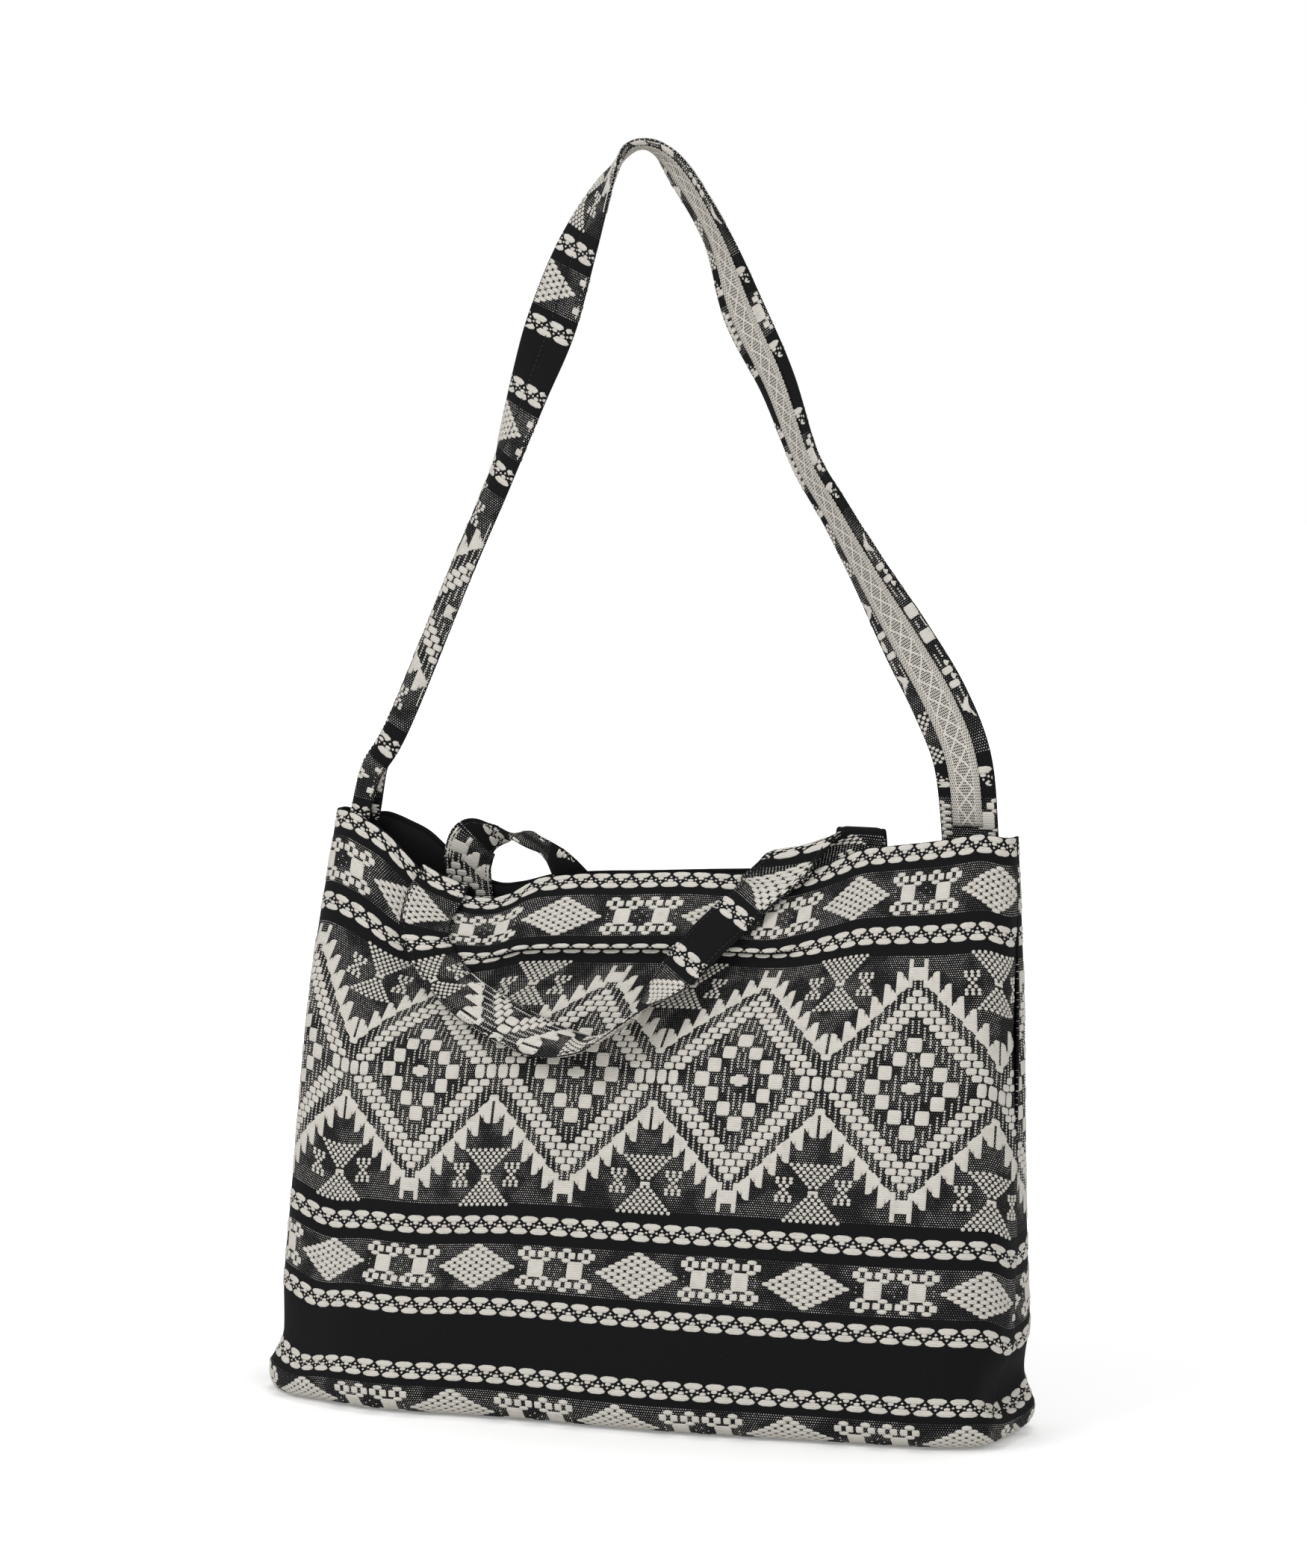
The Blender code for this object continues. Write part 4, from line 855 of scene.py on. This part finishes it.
def smooth_route(points, stations):
    """Points and other values spaced evenly along a Catmull-Rom curve through the route's own points."""
    rows = np.array(points, float)
    rows = np.concatenate([[2 * rows[0] - rows[1]], rows, [2 * rows[-1] - rows[-2]]])
    share = np.linspace(0.0, 1.0, 40, endpoint=False)[:, None]
    fine = [0.5 * (2 * start + (end - before) * share + (2 * before - 5 * start + 4 * end - after) * share ** 2
                   + (3 * start - before - 3 * end + after) * share ** 3)
            for before, start, end, after in zip(rows, rows[1:], rows[2:], rows[3:])]
    fine = np.concatenate(fine + [rows[-2][None]])
    length = np.concatenate([[0.0], np.cumsum(np.linalg.norm(np.diff(fine[:, :3], axis=0), axis=1))])
    even = np.linspace(0.0, length[-1], stations)
    return np.stack([np.interp(even, length, column) for column in fine.T], axis=1), length[-1]


def across_at(side, x, height):
    """The place across a panel, in metres of cloth, where it passes over x: found by a few Newton steps."""
    half = half_at(TABLES[side], height)
    across = -side * (x - RIM_SHIFT_X)
    for _ in range(12):
        error = x - place(TABLES[side], across, height, 0.0)[..., 0]
        across = np.clip(across - side * error, -half, half)
    return across


def on_lining(side, across, height, lift):
    """World points at a lift off the lining's inner face, into the bag."""
    share = across / half_at(TABLES[side], height)
    return place(TABLES[side], across, height, -lining_depth(share, height) - LINING_THICKNESS - lift)


def band_table(points, normals, length, width):
    """A table of the same kind as cloth_table's, for a band whose width stays the same."""
    stations = len(points)
    return {"points": points, "normals": normals, "along": np.linspace(0, length, stations),
            "half": np.full(stations, width / 2)}


def strap_table():
    """The strap's middle face: its route's centre line, with each section turned by its twist and folded.

    A section is an arc that turns by the fold over STRAP_FOLD_RUN to each side of the middle, then straight.
    """
    seat = STRAP_SEAT_GAP + STRAP_THICKNESS / 2
    drops = np.array([SEWN_LENGTH, SEWN_LENGTH / 2, 0.0])
    rows = []
    for drop in drops:
        x, _, z = on_lining(FRONT, -FLAT_WIDTH / 2, CLOTH_HEIGHT - drop, seat + STRAP_ROOT_INSET)
        rows.append((x, STRAP_Y, z, 90, STRAP_ROOT_FOLD))
    rows += [(x, STRAP_Y, RIM_END_HEIGHT + rise, twist, fold) for x, rise, twist, fold in STRAP_ROUTE]
    end_x = on_lining(BACK, -float(TABLES[BACK]["half"][-1]), CLOTH_HEIGHT, seat)[0]
    end_x -= STRAP_END_INSET + STRAP_WIDTH / 2
    for drop in drops[::-1]:
        height = CLOTH_HEIGHT - drop
        rows.append((*on_lining(BACK, across_at(BACK, end_x, height), height, seat), 180, 0))
    route, length = smooth_route(rows, STRAP_STATIONS)
    centres = route[:, :3]
    twist, fold = np.radians(route[:, 3:4]), np.radians(route[:, 4:5])
    along = unit(np.gradient(centres, axis=0))
    level = np.stack([-along[:, 2], np.zeros(len(along)), along[:, 0]], axis=-1)
    aside = np.cos(twist) * level + np.sin(twist) * np.array([0.0, 1.0, 0.0])
    aside = unit(aside - (aside * along).sum(-1, keepdims=True) * along)
    out = np.cross(along, aside)
    run = np.linspace(-STRAP_WIDTH / 2, STRAP_WIDTH / 2, STRAP_COLUMNS)[None, :]
    turn = fold * np.clip(run / STRAP_FOLD_RUN, -1.0, 1.0)
    step = run[0, 1] - run[0, 0]
    middle = STRAP_COLUMNS // 2

    def added_up(slopes):
        """Slopes added up across the band, with 0 at its middle."""
        total = np.cumsum((slopes[:, 1:] + slopes[:, :-1]) / 2 * step, axis=1)
        total = np.concatenate([np.zeros((len(slopes), 1)), total], axis=1)
        return (total - total[:, middle:middle + 1])[..., None]

    across = added_up(np.cos(turn))
    outward = added_up(-np.sin(turn))
    points = centres[:, None] + across * aside[:, None] + outward * out[:, None]
    normals = np.sin(turn)[..., None] * aside[:, None] + np.cos(turn)[..., None] * out[:, None]
    return band_table(points, unit(normals), length, STRAP_WIDTH)


BAND_COLUMNS = 35
GROOVE_DEPTH = 0.42
GROOVE_RUN = 0.09


def band_swell(share, thickness, stitched):
    """Half a band's thickness: (1 - w^6)^(1/2) rounds its edges, and a bell-like groove holds stitches."""
    groove = 1 - GROOVE_DEPTH * np.exp(-((np.abs(share) - stitched) / GROOVE_RUN) ** 2)
    return thickness / 2 * np.sqrt(np.maximum(1 - share ** 6, 0.01)) * groove


def band_piece(name, table, thickness, first_v, middle_u, stitched, offsets, wrap, taped=None,
               up_step=UP_STEP):
    """A band of jacquard, folded round at both edges. stitched is where its stitches lie, as a share of half.

    offsets are the stitch rows in mm. The figures reach round to the back by wrap, and cover the back of a
    band with a tape over its ends only.
    up_step is the weave's step along the band, a little longer where the band is stretched.
    """
    along, half = table["along"], table["half"][0]
    share, height = np.meshgrid(np.sin(np.linspace(-math.pi / 2, math.pi / 2, BAND_COLUMNS)), along)
    swell = band_swell(share, thickness, stitched)
    pattern = np.stack([middle_u + share * half / ACROSS_STEP, first_v + height / up_step], axis=-1)
    to_end = np.minimum(along, along[-1] - along)[1:]
    materials = [ground_cotton] if taped is None else [ground_cotton, tape_cotton]
    made = closed_cloth(name + "_cloth", place(table, share * half, height, swell),
                        place(table, share * half, height, -swell), pattern, materials,
                        0 if taped is None else (to_end > taped).astype(int))
    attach(made, "root")
    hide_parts(name)

    def on_band(pattern, lift):
        """From pattern steps to the band: past its edges the cloth is folded round to the band's back."""
        across = (pattern[..., 0] - middle_u) * ACROSS_STEP
        over = np.abs(across) > half
        across = np.where(over, np.sign(across) * (2 * half - np.abs(across)), across)
        height = (pattern[..., 1] - first_v) * up_step
        swell = band_swell(across / half, thickness, stitched)
        lift = (lift + swell) * np.where(over, -1.0, 1.0)
        return place(table, across, np.clip(height, 0.0, along[-1]), lift)

    def kept(places):
        """Whether each float shows: within the wrap, or anywhere on an end that the tape leaves free."""
        inside = np.abs(places[:, 0] - middle_u) * ACROSS_STEP < half + wrap
        if taped is None:
            return inside
        s = (places[:, 1] - first_v) * up_step
        return inside | (np.minimum(s, along[-1] - s) < taped)

    reach = (half + (wrap if taped is None else half)) / ACROSS_STEP
    floats = fabric(first_v + 1.0, first_v + along[-1] / up_step - 1.0, middle_u - reach, middle_u + reach)
    figures = new_piece(name + "_floats", *float_meshes(floats_where(floats, kept), on_band), [cream_cotton])
    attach(figures, "root")
    return made, figures, stitch_line(name, on_band, middle_u, along[-1], first_v, offsets, up_step)


# Polyester sewing thread, black and a little shiny, in stitches of 3 mm that sink at their ends.
STITCH_PITCH = 3.0
STITCH_HALF_WIDTH = 0.14
STITCH_INSET = 0.05
STITCH_RISE = 0.0008
THREAD_BLACK = "#222223"
thread_material, thread_shader, _ = new_material("sewing_thread_polyester", 0.5)
thread_shader.inputs["Base Color"].default_value = linear(THREAD_BLACK)


def stitch_line(name, on_band, middle_u, length, first_v, offsets, up_step):
    """Rows of stitches along a band: long thin floats of thread at some distances from its middle, in mm."""
    pitch = STITCH_PITCH / 1000 / up_step
    v = np.arange(first_v + pitch, first_v + length / up_step - pitch, pitch)
    floats = []
    for offset in offsets:
        places = np.stack([np.full(len(v), middle_u + offset / 1000 / ACROSS_STEP), v], axis=-1)
        floats.append((OVAL, places, (STITCH_HALF_WIDTH, pitch * 0.44)))
    made = new_piece(name + "_stitches", *float_meshes(floats, on_band, STITCH_INSET, STITCH_RISE),
                     [thread_material])
    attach(made, "root")
    return made


# The strap's pattern starts low on the left leg: it is counted so that the plain stripe crosses it at mid leg
STRAP_FIRST_V = -137.4
STRAP_MIDDLE_U = -4.0
STRAP_WRAP = 0.0075
strap_cloth = strap_table()
strap, strap_floats, strap_stitches = band_piece(
    "shoulder_strap", strap_cloth, STRAP_THICKNESS, STRAP_FIRST_V, STRAP_MIDDLE_U, 0.0, (0.0,), STRAP_WRAP)


# The tape: a narrow cotton band, woven with fine cream lozenges on black between twill borders. It is sewn
# flat over the seam on the strap's underside and stops short of the strap's sewn ends.

TAPE_WIDTH = 0.0175
TAPE_THICKNESS = 0.0006
TAPE_GAP = 0.0004
TAPE_END = 0.040
# Tape cotton: matt black and cream in hard-edged fine dashes, flatter and finer than the bag's own weave
TAPE_BLACK = "#131213"
TAPE_CREAM = "#D9D4CA"
LOZENGE_WIDE = 9.0
LOZENGE_LONG = 11.0
LOZENGE_LINE = 0.14
BORDER_FROM = 1.12
TAPE_DASH = 1.1
TAPE_STATIONS = 380
TAPE_COLUMNS = 11


def make_tape_material():
    """Lozenges in a column, |x| + |y| = 1, in cream lines over fine slanting dashes of black and cream."""
    material, shader, node = new_material("tape_cotton", 0.9)
    weave, across, up = weave_axes(node)
    x = node("Math MULTIPLY", across, ACROSS_STEP * 1000)
    y = node("Math MULTIPLY", up, UP_STEP * 1000)
    beside = node("Math ABSOLUTE", x)
    beside = node("Math MULTIPLY", beside, 2 / LOZENGE_WIDE)
    above = node("Math PINGPONG", y, LOZENGE_LONG / 2)
    above = node("Math MULTIPLY_ADD", above, 2 / LOZENGE_LONG, beside)
    ring = node("Math COMPARE", above, 1.0, LOZENGE_LINE)
    border = node("Math GREATER_THAN", beside, BORDER_FROM)
    inside = node("Math LESS_THAN", beside, BORDER_FROM)
    outline = node("Math MULTIPLY", ring, inside)
    edge = node("Math COMPARE", beside, 1.1, 0.05)
    leaning = node("Math MULTIPLY_ADD", border, -2.0, 1.0)
    slant = node("Math MULTIPLY", x, leaning)
    stripe = node("Math MULTIPLY_ADD", y, 0.45, slant)
    stripe = node("Math MULTIPLY", stripe, 2 * math.pi / TAPE_DASH)
    stripe = node("Math SINE", stripe)
    breaks = node("Math MULTIPLY", y, 2 * math.pi / (1.4 * TAPE_DASH))
    breaks = node("Math SINE", breaks)
    least = node("Math MULTIPLY_ADD", border, 0.7, -0.55)
    dashes = [node("Math GREATER_THAN", stripe, least), node("Math GREATER_THAN", breaks, -0.6)]
    dark = node("Math MULTIPLY", *dashes)
    cream = node("Math SUBTRACT", 1.0, dark)
    for line in (outline, edge):
        cream = node("Math MAXIMUM", cream, line)
    fuzz = node("TexNoise", Vector=weave, Scale=4.0, Detail=3.0)
    fuzz = node("Math MULTIPLY_ADD", fuzz, 0.6, 0.6)
    share = node("Math MULTIPLY", cream, fuzz)
    colour = node("Mix", data_type="RGBA", _0=share, _6=linear(TAPE_BLACK),
                  _7=linear(TAPE_CREAM)).node.outputs[2]
    bump = node("Bump", Height=cream, Strength=0.5, Distance=0.0003)
    connect(shader, Base_Color=colour, Normal=bump)
    return material


tape_cotton = make_tape_material()
tape_along = np.linspace(TAPE_END, strap_cloth["along"][-1] - TAPE_END, TAPE_STATIONS)
share, height = np.meshgrid(np.linspace(-1.0, 1.0, TAPE_COLUMNS), tape_along)
tape_faces = [place(strap_cloth, share * TAPE_WIDTH / 2, height, -STRAP_THICKNESS / 2 - TAPE_GAP - depth)
              for depth in (0.0, TAPE_THICKNESS)]
tape_pattern = np.stack([share * TAPE_WIDTH / 2 / ACROSS_STEP, height / UP_STEP], axis=-1)
tape = closed_cloth("strap_tape_cloth", *tape_faces, tape_pattern, [tape_cotton])
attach(tape, "root")
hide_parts("strap_tape")


# The front handle: a flat tube of jacquard, sewn inside the front rim at both ends, folded over the rim, and
# hanging in a loop on the panel with its lower edge swung out. A line of stitches runs along each edge.

HANDLE_WIDTH = 0.0292
HANDLE_THICKNESS = 0.0025
HANDLE_WRAP = 0.0035
HANDLE_STITCHED = 0.80
HANDLE_TAPED = 0.075
HANDLE_STITCHES = (-11.7, 11.7)
SEAT_GAP = 0.0010
FIGURE_HEIGHT = 0.0008
RIM_CLEARANCE = 0.0012
SHEAR_RUN = 0.030
FRONT_HANDLE_ROUTE = (
    (-0.119, -0.039, 0, 0.0), (-0.122, -0.013, 0, 0.0), (-0.124, 0.0000, 0, 0.0),
    (-0.1275, 0.014, 4, 0.0), (-0.131, 0.032, 14, 0.0), (-0.1285, 0.052, 18, 0.0),
    (-0.113, 0.076, 14, 0.0), (-0.08, 0.109, 12, 0.0), (-0.044, 0.129, 28, 0.0),
    (-0.012, 0.1335, 60, 0.0), (0.0115, 0.12, 66, 0.0), (0.024, 0.101, 42, 0.0),
    (0.039, 0.078, 16, 0.0), (0.0548, 0.054, 2, 0.0), (0.072, 0.03, 0, 0.001),
    (0.089, 0.013, 0, 0.006), (0.103, 0.0000, 0, 0.009), (0.115, -0.012, 0, 0.008),
    (0.128, -0.026, 0, 0.003), (0.14, -0.039, 0, 0.0),
)
HANDLE_STATIONS = 320
HANDLE_COLUMNS = 19
SOFT_FRONT = cloth_table(FRONT, soft=True)


def wrap_over_rim(side, x, distance, lift):
    """A point of a band that wraps over a rim: down inside, round a half circle, down outside.

    distance is along the cloth from the top of the loop, and lift is off the band's middle face.
    """
    inner = PANEL_THICKNESS + CLOTH_GAP + LINING_THICKNESS + SEAT_GAP + HANDLE_THICKNESS / 2
    outer = FIGURE_HEIGHT + CLOTH_GAP + HANDLE_THICKNESS / 2
    radius = (inner + outer) / 2
    angle = np.clip(distance / radius, -math.pi / 2, math.pi / 2)
    below = np.maximum(np.abs(distance) - radius * math.pi / 2, 0.0)
    height = CLOTH_HEIGHT - np.maximum(below - RIM_CLEARANCE, 0.0)
    above = np.maximum(RIM_CLEARANCE - below, 0.0) + (radius + lift) * np.cos(angle)
    off = (outer - inner) / 2 + (radius + lift) * np.sin(angle)
    point = place(SOFT_FRONT, across_at(side, x, height), height, off)
    point[..., 2] += above
    return point


def front_handle_table():
    """The handle's middle face: its route on the wrapped cloth, each section tilted out by its swing.

    Near the rim its sections run level along the rim, and elsewhere they stand square to the route.
    """
    rows = [(x, distance, 0.0, swing, rise) for x, distance, swing, rise in FRONT_HANDLE_ROUTE]
    route, length = smooth_route(rows, HANDLE_STATIONS)
    along = unit(np.gradient(route[:, :2], axis=0))
    square = np.stack([-along[:, 1], along[:, 0]], axis=-1)
    steep = np.where(np.abs(along[:, 1]) < 0.2, 0.2, along[:, 1])
    level = np.stack([-1 / steep, np.zeros(len(route))], axis=-1)
    near_rim = smooth_step(2 - 2 * np.abs(route[:, 1:2]) / SHEAR_RUN)
    aside = square + (level - square) * near_rim
    swing = np.radians(route[:, 3:4])
    run = np.linspace(-HANDLE_WIDTH / 2, HANDLE_WIDTH / 2, HANDLE_COLUMNS)[None, :]

    def face(lift):
        """The band's face at a lift off its middle, swung out round its upper edge."""
        in_plane = run * np.cos(swing) - lift * np.sin(swing)
        raised = HANDLE_WIDTH / 2 * np.sin(swing) + run * np.sin(swing) + lift * np.cos(swing)
        points = wrap_over_rim(FRONT, route[:, :1] + in_plane * aside[:, :1],
                               route[:, 1:2] + in_plane * aside[:, 1:], raised)
        points[..., 2] += route[:, 4:5]
        return points

    middle = face(0.0)
    return band_table(middle, unit(face(HANDLE_THICKNESS / 2) - middle), length, HANDLE_WIDTH)


FRONT_HANDLE_FIRST_V = -51.7
FRONT_HANDLE_MIDDLE_U = -2.5
FRONT_HANDLE_UP_STEP = 1.035 * UP_STEP
handle_cloth = front_handle_table()
front_handle, front_handle_floats, front_handle_stitches = band_piece(
    "front_handle", handle_cloth, HANDLE_THICKNESS, FRONT_HANDLE_FIRST_V, FRONT_HANDLE_MIDDLE_U,
    HANDLE_STITCHED, HANDLE_STITCHES, HANDLE_WRAP, HANDLE_TAPED, FRONT_HANDLE_UP_STEP)


# The back handle: the same flat tube of jacquard, sewn inside the back rim at both ends. It stands in an arch
# at the left and falls into the bag after a half twist that brings its underside to the front.

BACK_HANDLE_ROUTE = (
    (-0.123, 0.0006, -0.06, (1.0, 0.0, 0.0)), (-0.123, 0.0008, -0.042, (1.0, 0.0, 0.0)),
    (-0.1215, 0.0034, -0.03, (0.95, 0.15, -0.1)), (-0.114, 0.008, -0.0185, (0.6, 0.45, -0.55)),
    (-0.101, 0.0068, -0.015, (0.1, 0.8, -0.6)), (-0.085, 0.008, -0.016, (-0.1, 0.8, -0.6)),
    (-0.07, 0.0098, -0.021, (-0.3, 0.7, -0.6)), (-0.055, 0.0093, -0.035, (-0.6, 0.5, -0.6)),
    (-0.042, 0.0083, -0.053, (-0.8, 0.3, -0.55)), (-0.02, 0.0083, -0.074, (-0.65, 0.1, -0.75)),
    (0.015, 0.0083, -0.088, (-0.15, 0.00, -1.00)), (0.055, 0.0078, -0.084, (0.4, 0.00, -0.92)),
    (0.09, 0.0068, -0.062, (0.75, 0.00, -0.66)), (0.112, 0.0063, -0.039, (0.92, 0.00, -0.4)),
    (0.123, 0.0058, -0.019, (1.0, 0.0, 0.0)), (0.125, 0.006, -0.008, (1.0, 0.0, 0.0)),
    (0.125, 0.0035, -0.003, (1.0, 0.0, 0.0)), (0.125, 0.001, -0.008, (1.0, 0.0, 0.0)),
    (0.125, 0.0008, -0.038, (1.0, 0.0, 0.0)),
)
BACK_HANDLE_FIRST_V = 8.0
BACK_HANDLE_MIDDLE_U = 12.0
TWIST_FROM = 0.062
TWIST_RUN = 0.030
TWIST_NARROWING = 0.68


def back_handle_table():
    """The handle's middle face: its route stands off the lining of the back wall, with its width as given."""
    seat = PANEL_THICKNESS + CLOTH_GAP + LINING_THICKNESS + SEAT_GAP + HANDLE_THICKNESS / 2
    heights = np.linspace(BASE_FOLD_RADIUS, CLOTH_HEIGHT, 80)
    rows = []
    for x, stand_off, rise, aside in BACK_HANDLE_ROUTE:
        z = RIM_END_HEIGHT + rise
        share = across_at(BACK, x, CLOTH_HEIGHT) / TABLES[BACK]["half"][-1]
        across = share * half_at(TABLES[BACK], heights)
        wall = place(TABLES[BACK], across, heights, 0.0)
        rows.append((x, np.interp(z, wall[:, 2], wall[:, 1]) - seat - stand_off, z, *aside))
    route, length = smooth_route(rows, HANDLE_STATIONS)
    centres = route[:, :3]
    along = unit(np.gradient(centres, axis=0))
    aside = -unit(route[:, 3:] - (route[:, 3:] * along).sum(-1, keepdims=True) * along)
    at = np.linspace(0, length, HANDLE_STATIONS)
    turn = math.pi * smooth_step((at - TWIST_FROM) / TWIST_RUN)[:, None]
    aside = np.cos(turn) * aside + np.sin(turn) * np.cross(along, aside)
    run = np.linspace(-HANDLE_WIDTH / 2, HANDLE_WIDTH / 2, HANDLE_COLUMNS)[None, :, None]
    narrow = 1 - TWIST_NARROWING * hump((at - TWIST_FROM - TWIST_RUN / 2) / TWIST_RUN)
    points = centres[:, None] + run * narrow[:, None, None] * aside[:, None]
    normals = np.broadcast_to(np.cross(along, aside)[:, None], points.shape)
    return band_table(points, normals, length, HANDLE_WIDTH)


back_handle_cloth = back_handle_table()
back_handle, back_handle_floats, back_handle_stitches = band_piece(
    "back_handle", back_handle_cloth, HANDLE_THICKNESS, BACK_HANDLE_FIRST_V, BACK_HANDLE_MIDDLE_U,
    HANDLE_STITCHED, HANDLE_STITCHES, HANDLE_WRAP)


# The stage: a plain pale floor that takes the bag's shadow, soft studio light from above and from both sides,
# and a long lens at the photograph's place. The picture is 1750 by 2100, so the lens fits its width.

# Studio paper: even white with no sheen, so that only the bag's soft shadow shows on it
FLOOR_DROP = 0.0006
FLOOR_SIZE = 12.0
FLOOR_WHITE = "#F2F2F2"
FLOOR_GLOW = 0.25
SHADOW_REACH = (0.35, 0.80)
AMBIENT = 0.45
CAMERA_AZIMUTH = 25.5844
CAMERA_ELEVATION = 5.0743
CAMERA_DISTANCE = 3.0227
CAMERA_TARGET = Vector((0.0032, 0.015, 0.3535))
LENS = 147.73
SENSOR = 36.0
LAMP_TARGET = Vector((0.0, 0.0, 0.25))
LAMP_SIZE = 1.8


def seen_straight(node):
    """1 for rays that the camera sees, directly or by gloss or glass, and 0 for the light on the bag."""
    rays = node("LightPath").node.outputs
    seen = node("Math MAXIMUM", rays["Is Glossy Ray"], rays["Is Transmission Ray"])
    return node("Math MAXIMUM", rays["Is Camera Ray"], seen)


def make_floor_material():
    """Matt white paper: its own shade with the shadow on it, and a glow that only the camera sees."""
    material, shader, node = new_material("studio_paper", 0.95)
    shader.inputs["Base Color"].default_value = linear(FLOOR_WHITE)
    shader.inputs["Emission Color"].default_value = (1.0, 1.0, 1.0, 1.0)
    spot = node("TexCoord").node.outputs["Object"]
    spot = node("VectorMath LENGTH", spot).node.outputs["Value"]
    away = node("MapRange", spot, *SHADOW_REACH, FLOOR_GLOW, 1.0, interpolation_type="SMOOTHSTEP")
    glow = node("Math MULTIPLY", seen_straight(node), away)
    connect(shader, Emission_Strength=glow)
    return material


floor_corners = np.array([(-1, -1, 0), (1, -1, 0), (1, 1, 0), (-1, 1, 0)]) * FLOOR_SIZE - (0, 0, FLOOR_DROP)
floor = new_piece("floor", floor_corners, [(0, 1, 2, 3)], floor_corners[:, :2], [make_floor_material()])

world = bpy.data.worlds.new("studio")
bpy.context.scene.world = world
world.use_nodes = True
sky = world.node_tree.nodes["Background"]
sky.inputs["Color"].default_value = (1.0, 1.0, 1.0, 1.0)
node = functools.partial(add_node, world.node_tree)
connect(sky, Strength=node("Math MULTIPLY_ADD", seen_straight(node), 1.0 - AMBIENT, AMBIENT))


def add_lamp(name, place_at, power):
    """One soft square lamp that faces the bag's middle."""
    lamp = bpy.data.lights.new(name, "AREA")
    lamp.size = LAMP_SIZE
    lamp.energy = power
    made = add_object(name, lamp)
    made.location = place_at
    made.rotation_euler = (LAMP_TARGET - Vector(place_at)).to_track_quat("-Z", "Y").to_euler()


add_lamp("key_lamp", (-1.2, -2.4, 2.0), 40)
add_lamp("fill_lamp", (2.2, -1.8, 1.5), 22)
add_lamp("top_lamp", (0.0, 0.6, 2.6), 26)

camera_data = bpy.data.cameras.new("camera")
camera_data.lens = LENS
camera_data.sensor_width = SENSOR
camera_data.sensor_fit = "HORIZONTAL"
camera_data.clip_end = 50.0
camera = add_object("camera", camera_data)
azimuth, elevation = math.radians(CAMERA_AZIMUTH), math.radians(CAMERA_ELEVATION)
look = Vector((-math.sin(azimuth) * math.cos(elevation), math.cos(azimuth) * math.cos(elevation),
               -math.sin(elevation)))
camera.location = CAMERA_TARGET - look * CAMERA_DISTANCE
camera.rotation_euler = look.to_track_quat("-Z", "Y").to_euler()
bpy.context.scene.camera = camera
bpy.context.scene.view_settings.view_transform = "Standard"
